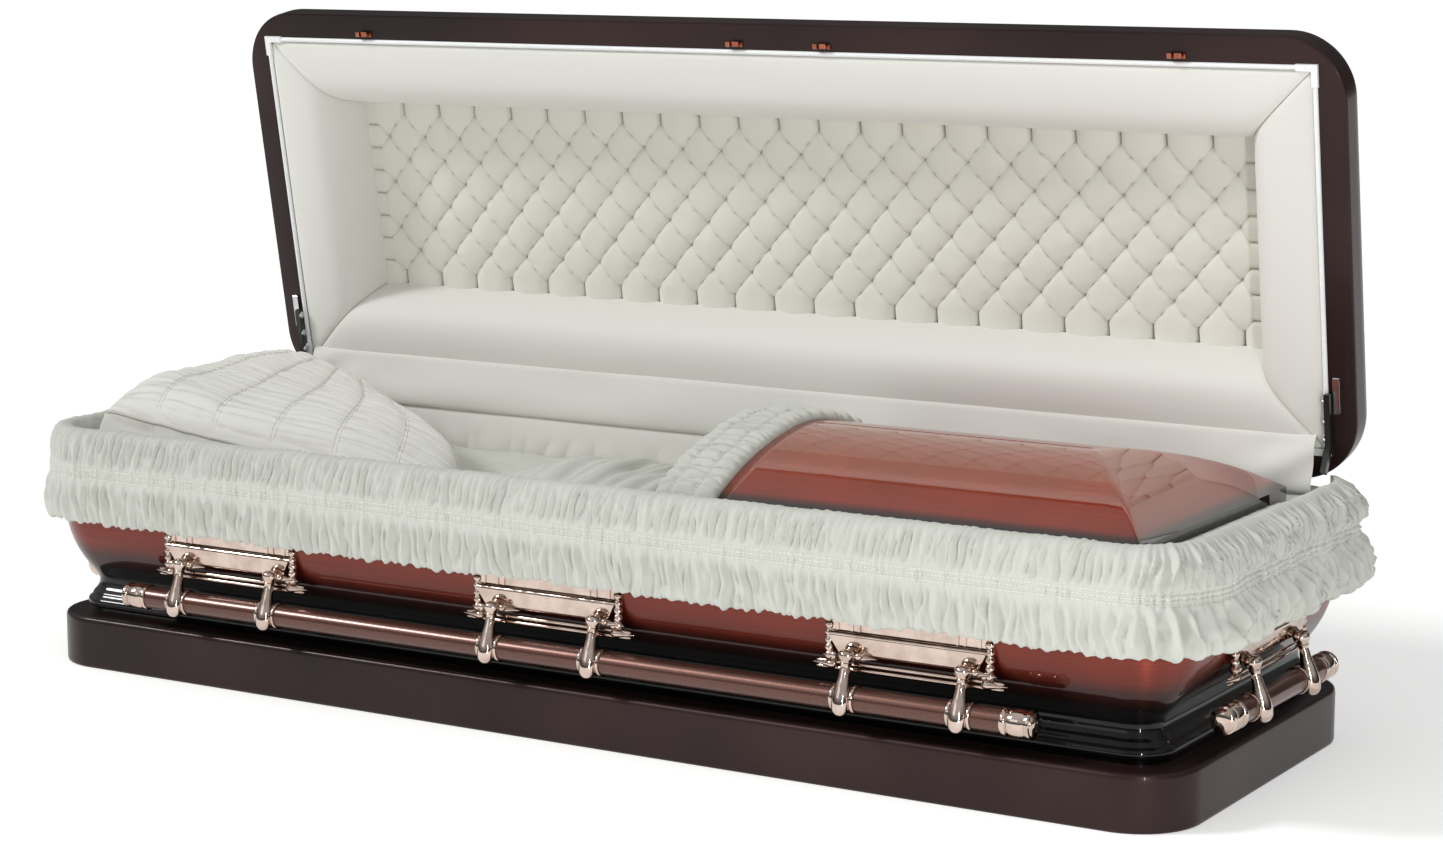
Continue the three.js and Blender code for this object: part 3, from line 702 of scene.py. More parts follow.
def crown_rise(distance):
    """Height above the edge at a distance in from it: a bowed lower face, then a flatter crown."""
    face = np.clip(distance / CREASE, 0, 1)
    crown = np.clip((distance - CREASE) / (PANEL_HALF - CREASE), 0, 1)
    lower = CREASE_RISE * face + FACE_BOW * np.sin(math.pi * face)
    return lower + (CROWN_RISE - CREASE_RISE) * np.sin(math.pi / 2 * crown)


def panel_row(distance):
    """One row round the panel in plan, at a distance in from the edge, with small arcs at the hips."""
    half = PANEL_HALF - distance
    end = PANEL_END - distance / HIP_STEEPNESS
    arc = min(HIP_ROUND, 0.9 * half)
    bend = np.linspace(0, math.pi / 2, 5)
    corner = np.stack([end - arc + arc * np.sin(bend), arc - half - arc * np.cos(bend)], axis=-1)
    front = np.stack([np.linspace(PANEL_START, end - arc, 28)[:-1], np.full(27, -half)], axis=-1)
    across = np.stack([np.full(18, end), np.linspace(arc - half, half - arc, 20)[1:-1]], axis=-1)
    near_side = np.vstack([front, corner])
    return np.vstack([near_side, across, (near_side * (1, -1))[::-1]])


PANEL_FOOT_Z = BED_TOP + 1
panel_distances = np.concatenate([
    np.linspace(0, 24, 9), np.linspace(30, CREASE - 6, 14), [CREASE - 2, CREASE, CREASE + 2],
    np.linspace(CREASE + 8, PANEL_HALF - 0.5, 16)])
panel_rows = [np.column_stack([panel_row(d), np.full(len(panel_row(d)), PANEL_EDGE_Z + crown_rise(d))])
              for d in panel_distances]
edge_row = panel_rows[0]
lip = [edge_row - (0, 0, drop) for drop in (PANEL_EDGE_Z - PANEL_FOOT_Z, 20, 4, 1)]
panel_grid = np.array(lip + panel_rows)
panel_faces = grid_faces(*panel_grid.shape[:2])
from_edge = np.concatenate([np.zeros(len(lip)), panel_distances]) * MM
panel_climb = np.concatenate([np.arange(len(lip)), len(lip) + lengths(np.array(panel_rows)[:, 0])])
panel_uv = product_uv(lengths(edge_row), panel_climb)
panel_from_edge = np.repeat(from_edge, panel_grid.shape[1])
foot_panel = make_object(
    "foot_panel_finish", (panel_grid.reshape(-1, 3), panel_faces), PANEL_LACQUER,
    closed=False, sharp_degrees=50, attributes={"from_edge": panel_from_edge}, uv=panel_uv)
PANEL_WALL = 4
wall = foot_panel.modifiers.new("wall", "SOLIDIFY")
wall.thickness = PANEL_WALL * MM
wall.offset = -1
graph = bpy.context.evaluated_depsgraph_get()
foot_panel_mesh = bpy.data.meshes.new_from_object(foot_panel.evaluated_get(graph), depsgraph=graph)
foot_panel.modifiers.remove(wall)
foot_panel.data = foot_panel_mesh
settle(foot_panel, "casket_body", ["foot_panel"])

# %% [markdown]
# ## Handles
# Each side has a bar that swings on cast arms. The arms hang from plates fixed to the body, and ferrules
# close the bar's ends. All three are polished castings. They are drawn in a handle's own frame, x along
# the bar, y out from the base's edge and z up, then copied to the four sides.

# %% Where the handles sit
PIVOT_Z = 205
PIVOT_OUT = 9
BAR_DROP = 63
BAR_RADIUS = 18.5
ARM_SPACING = 95
PLATE_SPACING = 632
SIDE_BAR_HALF = 793
END_BAR_HALF = 155
TIP_LENGTH = 54
SIDE_PLATES = {"_a": -PLATE_SPACING, "_b": 0, "_c": PLATE_SPACING}
HANDLES = {
    "front": ((0, -HALF_WIDTH), math.pi, SIDE_PLATES, SIDE_BAR_HALF),
    "back": ((0, HALF_WIDTH), 0.0, SIDE_PLATES, SIDE_BAR_HALF),
    "head": ((-HALF_LENGTH, 0), math.pi / 2, {"": 0}, END_BAR_HALF),
    "foot": ((HALF_LENGTH, 0), -math.pi / 2, {"": 0}, END_BAR_HALF),
}


def on_side(side, x, out, z):
    """A place in a handle's own frame, in the casket's frame."""
    (origin_x, origin_y), turn, _, _ = HANDLES[side]
    c, s = math.cos(turn), math.sin(turn)
    return origin_x + c * x - s * out, origin_y + s * x + c * out, z


def wall_out(z):
    """How far the body's side stands out from the base's edge at a height; it is negative."""
    return -np.interp(z, shell_side[:, 1], shell_side[:, 0])

# %% Arm, ferrule and plate castings
ARM_PROFILE = [
    (0, -89), (4.5, -87.5), (8.6, -83), (10.9, -74), (11.2, -63), (9.8, -50), (7.6, -36), (6.3, -23),
    (5.8, -15.5), (6.6, -13), (7.4, -11.6), (6.4, -10.4), (7.2, -8.4), (9.6, -4), (10.4, 0), (9.4, 4.8),
    (6, 8.7), (0, 10.4)]
arm_drop = lathe(smooth(ARM_PROFILE, 1.6), 20)
ARM_LEAN = math.atan2(21, 83)
ARM_STOUT = (1.28, 1.28, 1.0)
CLASP_SPREAD = 16.5
CLASP_SIDES = 36
clasp_ring = lathe([
    (BAR_RADIUS, -2.2), (20.6, -2.6), (21.6, -1.2), (21.6, 1.2), (20.6, 2.6), (BAR_RADIUS, 2.2),
    (BAR_RADIUS, -2.2)], CLASP_SIDES, "x")
clasp_sleeve = lathe([(BAR_RADIUS, -13), (19.4, -13), (19.4, 13), (BAR_RADIUS, 13)], CLASP_SIDES, "x")
pivot_pin = lathe([(0, -25), (2.6, -24), (2.6, 12), (0, 12.5)], 12, "x")
pivot_knob = lathe(smooth([(0, -6.3), (3.4, -5.2), (5.9, 0), (3.4, 5.2), (0, 6.3)], 1.5), 16, "x")
arm = make_object("arm_casting", together(
    moved(arm_drop, scale=ARM_STOUT, tilt=ARM_LEAN),
    moved(clasp_ring, (-CLASP_SPREAD, 0, -BAR_DROP)), moved(clasp_ring, (CLASP_SPREAD, 0, -BAR_DROP)),
    moved(clasp_sleeve, (0, 0, -BAR_DROP))), ROSE_GOLD)

tip_profile = np.vstack([
    [(0, -0.3), (18.6, -0.3)],
    smooth([(20.2, 0.2), (21, 1.6), (21, 7), (20.2, 8.4)], 1.2),
    smooth([(18.4, 9.2), (18.2, 10.4), (19, 11.4)], 1),
    smooth([(20.6, 13), (21.4, 18), (21.6, 24), (21.2, 30), (20.2, 35)], 2),
    smooth([(18.8, 36.6), (18.4, 38), (19.2, 39.2)], 1),
    smooth([(20.8, 40), (21.2, 43), (20.8, 46.4)], 1),
    [(18.2, 47.4), (17.9, 48.6)],
    smooth([(16.5, 50), (12, 52.2), (6, 53.5), (0, TIP_LENGTH)], 2)])
tip = make_object("tip_casting", lathe(tip_profile, 28, "x"), ROSE_GOLD)
print("an arm has", len(arm.data.polygons), "faces and a ferrule", len(tip.data.polygons))

# %% [markdown]
# The plate is one casting: a stepped face, a ribbed column and pointed feet at both ends, twin rails
# below, and the pins that the arms turn on. Its face is a profile run sideways, each row with its own
# height, distance out and half width, and the rest are small turned shapes joined to it.

# %% Plate casting
PLATE_PROFILE = np.array([
    (272, -30, 131), (272, -1.2, 131), (271, 0.4, 131), (266.8, 0.6, 131), (265.4, -0.6, 130.6),
    (264.4, -3.4, 130.2), (240.2, -3.4, 129.2), (239, -1.2, 129), (237.6, 1.4, 128.8),
    (234.6, 3.6, 128.4), (232, 4.4, 128), (229.6, 3.9, 126.6), (208.2, -0.9, 114.4), (205.8, -2, 113.2),
    (204.4, -3.6, 113), (203.6, -9, 113), (203, -30, 112.8)])
COLUMN_LOW = 194
COLUMN_HIGH = 263
COLUMN_CORE = 5.2
COLUMN_RIB = 2.3
COLUMN_RIBS = 6
RAIL_HEIGHTS = (190.5, 182)
TAB_PLACES = (80, 92, 116)


def plate_casting():
    """The plate's face, with a ribbed column and pointed feet at both ends and twin rails below."""
    columns = np.array([-1, -0.985, -0.5, 0, 0.5, 0.985, 1])
    z, out, half = (part[:, None] for part in PLATE_PROFILE.T)
    flat = np.ones(len(columns))
    rings = np.stack([half * columns, out * flat, z * flat], axis=-1)
    behind = rings[:, ::-1].copy()
    behind[:, :, 1] = wall_out(behind[:, :, 2]) - 3
    solids = [skin(np.concatenate([rings, behind], axis=1))]
    rail = lathe([(0, -154), (1.6, -152.5), (2.9, -147), (2.9, 147), (1.6, 152.5), (0, 154)], 12, "x")
    solids += [moved(rail, (0, -6, height)) for height in RAIL_HEIGHTS]
    heights = np.linspace(COLUMN_LOW, COLUMN_HIGH, 50)
    climbed = (heights - COLUMN_LOW) / (COLUMN_HIGH - COLUMN_LOW)
    ridges = COLUMN_CORE + COLUMN_RIB * np.abs(np.sin(climbed * COLUMN_RIBS * math.pi))
    column = lathe(np.column_stack([ridges, heights]), 16)
    foot = lathe(smooth([(0, -12), (7, -10), (9.5, -3), (7.5, 5), (3.6, 16), (0, 31)], 2), 14, "x")
    tab_end = np.array([(-1.5, 0, 0), (1.5, 0, 0), (1.5, 2.4, 0), (-1.5, 2.4, 0)])
    tab = skin(np.array([tab_end, tab_end + (0, 0, 24)]))
    for end in (-1, 1):
        solids.append(moved(column, (end * 131, -5, 0)))
        solids.append(moved(foot, (end * 130, -5, 187), (end, 0.8, 0.75)))
        solids.append(moved(foot, (end * 124, -4, 200), (end * 0.6, 0.7, 0.8)))
        solids += [moved(tab, (end * place, -3.6, 240)) for place in TAB_PLACES]
        lug = (end * ARM_SPACING, PIVOT_OUT, PIVOT_Z)
        solids.append(moved(pivot_pin, lug))
        knob = (lug[0] - 19, lug[1] - 1, lug[2] + 1)
        solids.append(moved(pivot_knob, knob))
        solids.append(moved(foot, (knob[0] - 6, knob[1] - 8, knob[2] - 3), (-0.7, 0.8, 0.55)))
        solids.append(moved(pivot_knob, (knob[0], knob[1] - 8, knob[2]), (0.8, 1.6, 0.8)))
    return together(*solids)


plate = make_object("plate_casting", plate_casting(), ROSE_GOLD, sharp_degrees=30)
print("a plate has", len(plate.data.polygons), "faces")

# %% Copy the castings to the four sides
plate_places, plate_turns, plate_nodes = [], [], []
for side, (_, turn, plates, bar_half) in HANDLES.items():
    arm_places, arm_nodes = [], []
    for letter, plate_x in plates.items():
        plate_places.append(on_side(side, plate_x, 0, 0))
        plate_turns.append((0, 0, turn))
        plate_nodes.append(f"ear_plate_{side}{letter}")
        for number, offset in enumerate((-ARM_SPACING, ARM_SPACING), 1):
            arm_places.append(on_side(side, plate_x + offset, PIVOT_OUT, PIVOT_Z))
            arm_nodes.append(f"handle_arm_{side}{letter}_{number}")
    arms = copies(f"handle_arms_{side}", arm, arm_places, [(0, 0, turn)] * len(arm_places), ROSE_GOLD)
    settle(arms, f"handle_{side}", arm_nodes)
    bar_z = PIVOT_Z - BAR_DROP
    tip_places = [on_side(side, end * (bar_half + 0.4), PIVOT_OUT, bar_z) for end in (1, -1)]
    tips = copies(f"bar_tips_{side}", tip, tip_places, [(0, 0, turn), (0, 0, turn + math.pi)], ROSE_GOLD)
    settle(tips, f"handle_{side}", [f"bar_tip_{side}_1", f"bar_tip_{side}_2"])
    rod = lathe([(0, -bar_half), (BAR_RADIUS - 0.8, -bar_half), (BAR_RADIUS, 1 - bar_half)]
                + [(BAR_RADIUS, place) for place in np.linspace(1 - bar_half, bar_half - 1, 9)[1:]]
                + [(BAR_RADIUS - 0.8, bar_half), (0, bar_half)], 40, "x")
    points = np.array([on_side(side, x, PIVOT_OUT + y, bar_z + z) for x, y, z in rod[0]])
    bar = make_object(f"handle_bar_{side}_finish", (points, rod[1]), BAR_PAINT)
    settle(bar, f"handle_{side}", [f"handle_bar_{side}"])
plates = copies("ear_plates", plate, plate_places, plate_turns, ROSE_GOLD)
settle(plates, "casket_body", plate_nodes)
for casting in (arm, tip, plate):
    bpy.data.objects.remove(casting)

# %% [markdown]
# ## Lid
# The lid is drawn lying flat: x along the hinge line, v away from it, and w up through the crown. One
# function stands it open. Its skin runs up the outside, over the crown, and back inside to the flange,
# which carries the white bead, four copper latch hooks and the hinge arms.

# %% Lid frame and shell
LID_WIDTH = 706
FLANGE = 44.5
SHEET = 1.5


def on_lid(points):
    """Points in the lid's own x, v and w, in the casket's frame with the lid open."""
    x, v, w = np.moveaxis(np.asarray(points, float), -1, 0)
    c, s = math.cos(LID_LEAN), math.sin(LID_LEAN)
    return np.stack([x, HINGE_Y - s * v + c * w, HINGE_Z + c * v + s * w], axis=-1)


def lid_ring(inset, radius):
    """A rounded rectangle inside the lid's outline, as pairs of x and v."""
    half_x, half_v = HALF_LENGTH - inset, LID_WIDTH / 2 - inset
    ring = []
    for number, (side_x, side_v) in enumerate([(1, 1), (-1, 1), (-1, -1), (1, -1)]):
        for step in range(CORNER_STEPS + 1):
            angle = math.pi / 2 * (number + step / CORNER_STEPS)
            ring.append((side_x * (half_x - radius) + radius * math.cos(angle),
                         LID_WIDTH / 2 + side_v * (half_v - radius) + radius * math.sin(angle)))
    return np.array(ring)


CROWN_SOFTENING = 0.62
crown = smooth([
    (0, 4), (0, 24), (0.3, 38), (2.5, 50), (8.5, 64), (19, 80), (34, 93), (55, 105.5), (82, 115.5),
    (118, 124), (165, 130.5), (220, 134), (290, 135.6), (344, 136)], 5)
flange_lip = [(46, SHEET), (48.5, SHEET), (48.5, 0), (46, 0), (4, 0), (1.2, 0.8), (0.1, 2.4)]
inside = (crown[::-1] + (SHEET, -SHEET))[:-2]
lid_skin = np.vstack([inside, [(SHEET, SHEET + 2), (SHEET + 1, SHEET)], flange_lip, crown])
lid_rings = []
for inset, w in lid_skin:
    flat = np.full(4 * (CORNER_STEPS + 1), w)
    opening = 45 < inset < 49 and w <= SHEET
    round_off = 6 if opening else min(PLAN_RADIUS - CROWN_SOFTENING * inset, LID_WIDTH / 2 - inset - 1)
    lid_rings.append(np.column_stack([lid_ring(inset, max(round_off, 1)), flat]))
lid_shell = make_object("lid_shell_finish", skin(on_lid(lid_rings)), PLUM)
settle(lid_shell, "lid", ["lid_shell"])

# %% [markdown]
# ## Bead, latches and hinge arms
# The bead is an extruded plastic strip that follows the edge of the opening, so a node tree turns a
# closed path into a tube. Small moulded corners cover its mitres. They and the latch hooks are drawn once
# in the lid's own x, v and w, turned in its plane, and then stood up with the lid.

# %% Bead along the opening
def bead_tree():
    """Runs a round section along a path."""
    tree, given = start_tree("bead_along_path", "Radius")
    path = add_node(tree, "GeometryNodeMeshToCurve", {"Mesh": given.outputs["Geometry"]})
    section = add_node(tree, "GeometryNodeCurvePrimitiveCircle", {
        "Resolution": 14, "Radius": given.outputs["Radius"]})
    tube = add_node(tree, "GeometryNodeCurveToMesh", {
        "Curve": path.outputs["Curve"], "Profile Curve": section.outputs["Curve"]})
    return end_tree(tree, given, tube.outputs["Mesh"])


BEAD = bead_tree()


def tube(name, points, radius, finish, closed_path=True):
    """A round tube along a row of points."""
    path = bpy.data.meshes.new(name + "_path")
    links = [(i, i + 1) for i in range(len(points) - 1)]
    if closed_path:
        links.append((len(points) - 1, 0))
    path.from_pydata((np.asarray(points) * MM).tolist(), links, [])
    made = run_tree(name, path, BEAD, {"Radius": radius * MM, "Finish": finish})
    made.data.shade_smooth()
    return made


BEAD_WIDTH = 8
BEAD_INSET = FLANGE + BEAD_WIDTH / 2
BEAD_CORNER = 5
BEAD_SINK = 0.6
bead_path = lid_ring(BEAD_INSET, BEAD_CORNER)
bead_points = on_lid(np.column_stack([bead_path, np.full(len(bead_path), -BEAD_SINK)]))
bead = tube("lid_bead_strip", bead_points, BEAD_WIDTH / 2, WHITE_PLASTIC)
settle(bead, "lid", ["lid_bead"])

# %% Bead corners
block = np.array([(-5.5, -5.5), (30, -5.5), (30, 5), (7, 5), (5, 7), (5, 30), (-5.5, 30)], float)
block_rings = np.array([np.column_stack([block * k + 0.4 * (1 - k), np.full(7, w)])
                        for k, w in ((1, 0.5), (1, -4.6), (0.96, -5.6))])
corner_places = []
for number, (side_x, side_v) in enumerate([(-1, -1), (1, -1), (1, 1), (-1, 1)]):
    corner_x = side_x * (HALF_LENGTH - BEAD_INSET)
    corner_v = LID_WIDTH / 2 + side_v * (LID_WIDTH / 2 - BEAD_INSET)
    corner_places.append((corner_x, corner_v, number))


def lid_copy(name, solid, finish, places, stands_for=(), sharp_degrees=35):
    """Copies of a solid drawn in the lid's x, v and w, each put at a place and turned by quarters."""
    copied = []
    for x, v, quarter in places:
        c, s = math.cos(quarter * math.pi / 2), math.sin(quarter * math.pi / 2)
        turned = solid[0] @ np.array([[c, s, 0], [-s, c, 0], [0, 0, 1]])
        copied.append((on_lid(turned + (x, v, 0)), solid[1]))
    made = make_object(name, together(*copied), finish, sharp_degrees=sharp_degrees)
    return settle(made, "lid", stands_for)


lid_copy("bead_corners", skin(block_rings), WHITE_PLASTIC, corner_places)

# %% Latch hooks
LATCH_PLACES = (-780, -10, 156, 780)
LATCH_INSET = 38.5
hook_side = np.array([
    (0, 0), (4.5, 0), (4.5, -6), (6, -8.5), (9, -8.5), (9, -12.6), (1.5, -12.6), (0, -10)], float)
hook_foot = np.array([(-1, 0), (6, 0), (6, -2.2), (-1, -2.2)], float)


def run_along_x(outline, low, high, bevel=0.6):
    """An outline in v and w run along x, with its two end edges eased."""
    middle = outline.mean(axis=0)
    rings = []
    for x, k in ((low, 0.9), (low + bevel, 1), (high - bevel, 1), (high, 0.9)):
        eased = middle + (outline - middle) * k
        rings.append(np.column_stack([np.full(len(outline), x), eased]))
    return skin(np.array(rings))


hook = together(
    run_along_x(hook_side, -13, -5), run_along_x(hook_side * (1, 0.8), -2, 10),
    run_along_x(hook_foot, -15, 14))
hook_places = [(x, LID_WIDTH - LATCH_INSET, 0) for x in LATCH_PLACES]
lid_copy("latch_hooks", hook, COPPER, hook_places, [f"latch_{n}" for n in (1, 2, 3, 4)])

# %% Hinge arms and brackets
ARM_OUTLINE = np.array([(148, -9), (148, -17), (66, -17), (31, -44), (24, -36), (58, -9)], float)
BRACKET_OUTLINE = np.array([
    (112, -0.4), (112, -3), (113.5, -4.5), (170.5, -4.5), (172, -3), (172, -0.4)], float)
ARM_FACES = (1003, 1013)
BRACKET_FACES = (1013.5, 1025)
RIVET_PLACES = (74, 104, 138)
rivet = lathe(smooth([(0, -0.5), (5, -0.4), (6, 2), (4, 4), (0, 4.8)], 1.2), 16, "x")
for end, side in (("head", -1), ("foot", 1)):
    rivets = [moved(rivet, (side * ARM_FACES[0], v, -13), (-side, 1, 1)) for v in RIVET_PLACES]
    arm_solid = run_along_x(ARM_OUTLINE, *sorted(side * face for face in ARM_FACES))
    hinge_arm = make_object(f"hinge_arm_{end}_finish", (on_lid(arm_solid[0]), arm_solid[1]), BLACK_STEEL)
    settle(hinge_arm, "lid", [f"hinge_arm_{end}"])
    bracket_solid = run_along_x(BRACKET_OUTLINE, *sorted(side * face for face in BRACKET_FACES))
    bracket_solid = together(bracket_solid, *rivets)
    bracket = make_object(
        f"arm_bracket_{end}_finish", (on_lid(bracket_solid[0]), bracket_solid[1]), CHROME)
    settle(bracket, "lid", [f"arm_bracket_{end}"])

# %% [markdown]
# ## Gathered cloth
# Shirred cloth is pulled together along stitch lines, so it stands up in rounded ridges with sharp
# creases between them. Simulating thousands of small gathers would take too long, so the ridges are
# drawn: crease lines are laid out unevenly along the cloth, wander a little down it, and the cloth
# stands highest halfway between two of them.

# %% Gathers
def gathers(along, shares, pitch, lean=0.0, wander=0.25, jitter=0.4, ridge=None):
    """How high the cloth stands, 0 in a crease and about 1 on a ridge, for each share down the cloth and
    place along it. Creases lie a pitch apart, lean sideways over the cloth's depth, and wander. The cloth
    is full and round between creases, or a narrow ridge of the given share of the gap."""
    margin = abs(lean) + 4 * pitch
    count = int((along[-1] - along[0] + 2 * margin) / pitch)
    gaps = pitch * (1 + jitter * random.uniform(-1, 1, count))
    start = along[0] - margin + np.cumsum(gaps)
    phase = random.uniform(0, 2 * math.pi, (2, count))
    rate = random.uniform(0.5, 1.6, count)
    height = random.uniform(0.55, 1.15, count)
    stands = np.zeros((len(shares), len(along)))
    for i, share in enumerate(shares):
        sway = np.sin(phase[0] + math.pi * rate * share) + 0.4 * np.sin(phase[1] + 3 * math.pi * share)
        lines = np.sort(start + lean * share + pitch * wander * sway)
        left = np.clip(np.searchsorted(lines, along) - 1, 0, count - 2)
        gap = np.maximum(lines[left + 1] - lines[left], 1e-3)
        across = np.clip(2 * (along - lines[left]) / gap - 1, -1, 1)
        rise = np.exp(-(across / ridge) ** 2) if ridge else (1 - across**2) ** 0.7
        stands[i] = rise * np.minimum(gap / pitch, 1.3) * height[left]
    return stands


def bell(values, middle, width):
    """1 at the middle and falling away over the width."""
    return np.exp(-((np.asarray(values) - middle) / width) ** 2)


def ramp_up(values, low, high):
    """0 below low, 1 above high, and smooth between."""
    part = np.clip((np.asarray(values) - low) / (high - low), 0, 1)
    return part * part * (3 - 2 * part)


def ripple(x, y, size, layers=3):
    """Soft uneven ups and downs between about -1 and 1, with hills of about the given size."""
    total = np.zeros(np.broadcast(x, y).shape)
    for _ in range(3 * layers):
        angle = random.uniform(0, 2 * math.pi)
        wave = random.uniform(0.6, 1.5) * size
        across = x * math.cos(angle) + y * math.sin(angle)
        total += np.sin(2 * math.pi * across / wave + random.uniform(0, 7))
    return total / (1.7 * math.sqrt(3 * layers))

# %% [markdown]
# ## Overlay
# The overlay is one strip of crepe that hangs over the rim of the front and both ends, shirred on three
# elastic rows. Above them the cloth is finely gathered over the padded rim, and below it falls in looser,
# wavering pleats to a soft hem. At the foot end it stands further out.

# %% Overlay path and section
OVERLAY_KNOTS = [
    (-34, 326), (-32, 352), (-30.6, 376), (-28.5, 396), (-22.5, 407), (-13, 412.6), (-2, 412), (7.5, 406),
    (13.6, 395), (16.4, 380), (17.6, 362), (18.6, 346), (19.4, 330), (21.4, 310), (23, 288), (22.6, 270),
    (20.4, 259.5), (17.6, 256.6), (15, 258.5), (14.6, 266)]
STITCH_HEIGHTS = (349, 341.5, 334)
SEWN_LOW = 327
SEWN_HIGH = 356
HEM_HEIGHT = 257
HEM_REACH = 22
OVERLAY_STEP = 2.6
HIDDEN_STEP = 5.5
OPEN_STEP = 4.2
SEWN_STEP = 1.75
HEM_STEP = 2.4

corner_arc = PLAN_RADIUS * math.pi / 4
straight_back = HALF_LENGTH - PLAN_RADIUS
along = np.arange(straight_back + corner_arc, EDGE_LENGTH[-1] - straight_back - corner_arc, OVERLAY_STEP)
rim = at_places(along, EDGE_LENGTH, EDGE)
rim_out = at_places(along, EDGE_LENGTH, EDGE_OUT)
rim_out /= np.linalg.norm(rim_out, axis=1)[:, None]


def overlay_section():
    """The section's points, out and up, with close rows over the stitching and wide ones where it hides."""
    fine = smooth(OVERLAY_KNOTS, 0.5)
    travelled = lengths(fine)
    peak = np.argmax(fine[:, 1])
    step = np.where(np.arange(len(fine)) < peak, HIDDEN_STEP, OPEN_STEP)
    outside = np.arange(len(fine)) > peak
    step = np.where(outside & (fine[:, 1] < SEWN_HIGH) & (fine[:, 1] > SEWN_LOW), SEWN_STEP, step)
    step = np.where(travelled > travelled[-1] - HEM_REACH, HEM_STEP, step)
    rows, place = [], 0.0
    while place < travelled[-1]:
        rows.append(place)
        place += np.interp(place, travelled, step)
    rows = np.array(rows + [travelled[-1]])
    return at_places(rows, travelled, fine), rows


section, section_rows = overlay_section()
slope = np.gradient(section, section_rows, axis=0)
section_out = np.column_stack([-slope[:, 1], slope[:, 0]])
section_height = section[:, 1]
sewn_height = STITCH_HEIGHTS[1]
crest_row = int(np.argmax(section_height))
outer = np.arange(len(section)) >= crest_row
upper_share = np.clip((section_height - sewn_height) / (section_height.max() - sewn_height), 0, 1)
upper_share = np.where(outer, upper_share, 1)
lower_share = np.clip((sewn_height - section_height) / (sewn_height - HEM_HEIGHT), 0, 1)
lower_share = np.where(outer, lower_share, 0)
print("the overlay runs", round(along[-1] - along[0]), "mm and has", len(section), "rows")

# %% [markdown]
# The cloth stands off its section by three sets of gathers: fine ones over the padded rim, tight ones
# between the elastic rows, and loose pleats below. Each set fades in where its own stretch begins. The
# rows of elastic pull narrow grooves.

# %% Overlay gathers
UPPER_DEPTH = 6.4
SEWN_DEPTH = 3.2
LOWER_DEPTH = 8.2
HIDDEN_DEPTH = 1.2
GROOVE_DEPTH = 1.5
SAG = 1.6

upper = gathers(along, upper_share, 11.5, lean=14, wander=0.24, ridge=0.55)
upper += 0.3 * gathers(along, upper_share, 8, lean=14, wander=0.3)
sewn = gathers(along, upper_share, 8.5, wander=0.1, jitter=0.3)
lower = gathers(along, lower_share, 17, lean=8, wander=0.32, ridge=0.46)
lower += 0.32 * gathers(along, lower_share, 9.5, lean=6, wander=0.3)
full_above = ramp_up(section_height, 350, 366) * (1 - 0.72 * ramp_up(section_height, 398, 413))
full_below = ramp_up(-section_height, -337, -308) * (1 - 0.4 * ramp_up(-section_height, -280, -HEM_HEIGHT))
upper_depth = np.where(outer, UPPER_DEPTH * full_above, HIDDEN_DEPTH)
sewn_depth = np.where(outer, SEWN_DEPTH * bell(section_height, sewn_height, 15), 0)
lower_depth = np.where(outer, LOWER_DEPTH * full_below, 0)
grooves = sum(np.where(outer, bell(section_height, row, 1.7), 0) for row in STITCH_HEIGHTS)
stands = (upper_depth[:, None] * (upper - 0.55) + sewn_depth[:, None] * (sewn - 0.7)
          + lower_depth[:, None] * (lower - 0.5) - GROOVE_DEPTH * grooves[:, None])
sag_depth = SAG * np.where(outer, 1, 0.4)
stands += sag_depth[:, None] * ripple(along[None, :], 3 * section_rows[:, None], 130)
# Painted shade: these set how dark the crepe is painted, darkest in the creases between gathers and
# lightest on ridges and plain cloth.
pleated = (upper * ramp_up(upper_depth, 0, 3)[:, None] + lower * ramp_up(lower_depth, 0, 4)[:, None]
           + sewn * ramp_up(sewn_depth, 0, 2)[:, None])
plain = 1 - ramp_up(upper_depth + lower_depth + sewn_depth, 0.5, 3)
overlay_fold_shading = np.clip(0.25 + 0.55 * pleated + 0.6 * plain[:, None], 0, 1)
print("the gathers stand from", round(stands.min(), 1), "to", round(stands.max(), 1), "mm")

# %% [markdown]
# The same section doesn't fit everywhere. At the foot the skirt spreads, beside the foot panel the cloth
# lies inwards on a shelf, and at both ends, by the hinge arms, it is folded short to leave them room.

# %% Overlay shape
FOOT_SPREAD = 2.6
SPREAD_FROM = 11
END_FOLD = 10
END_LOW = 386
SHELF_KNOTS = [(-76, 386), (-68, 391), (-57, 395), (-43, 400), (-29, 406)]
SHELF_FADE = 12
SHELF_DROP = 10
PANEL_BEGINS = (238, 292)

path_end = np.minimum(along - along[0], along[-1] - along)
end_part = 1 - ramp_up(path_end, 60, 130)
tucked = (~outer)[:, None] & (section[:, 0] < -END_FOLD)[:, None]
spread = 1 + (FOOT_SPREAD - 1) * ramp_up(rim_out[:, 0], 0.0, 1.0)
reach = section[:, 0][:, None] + section_out[:, 0][:, None] * stands
reach = np.where(reach > SPREAD_FROM, SPREAD_FROM + (reach - SPREAD_FROM) * spread, reach)
reach = np.where(tucked, reach + (-END_FOLD - reach) * end_part, reach)

at_foot = ramp_up(rim_out[:, 0], 0.5, 1.0)
beside_panel = np.maximum(ramp_up(rim[:, 0], *PANEL_BEGINS), ramp_up(rim_out[:, 0], 0.1, 0.6))
knot_lengths = lengths(np.array(OVERLAY_KNOTS))[:len(SHELF_KNOTS)]
shelf = at_places(section_rows, knot_lengths, SHELF_KNOTS)
fade = np.clip(1 - (section_rows - knot_lengths[-1]) / SHELF_FADE, 0, 1)
shelf_part = np.where(outer, 0, fade)[:, None] * beside_panel * (1 - end_part)
reach += (shelf[:, 0][:, None] * (1 + 0.22 * at_foot) - reach) * shelf_part

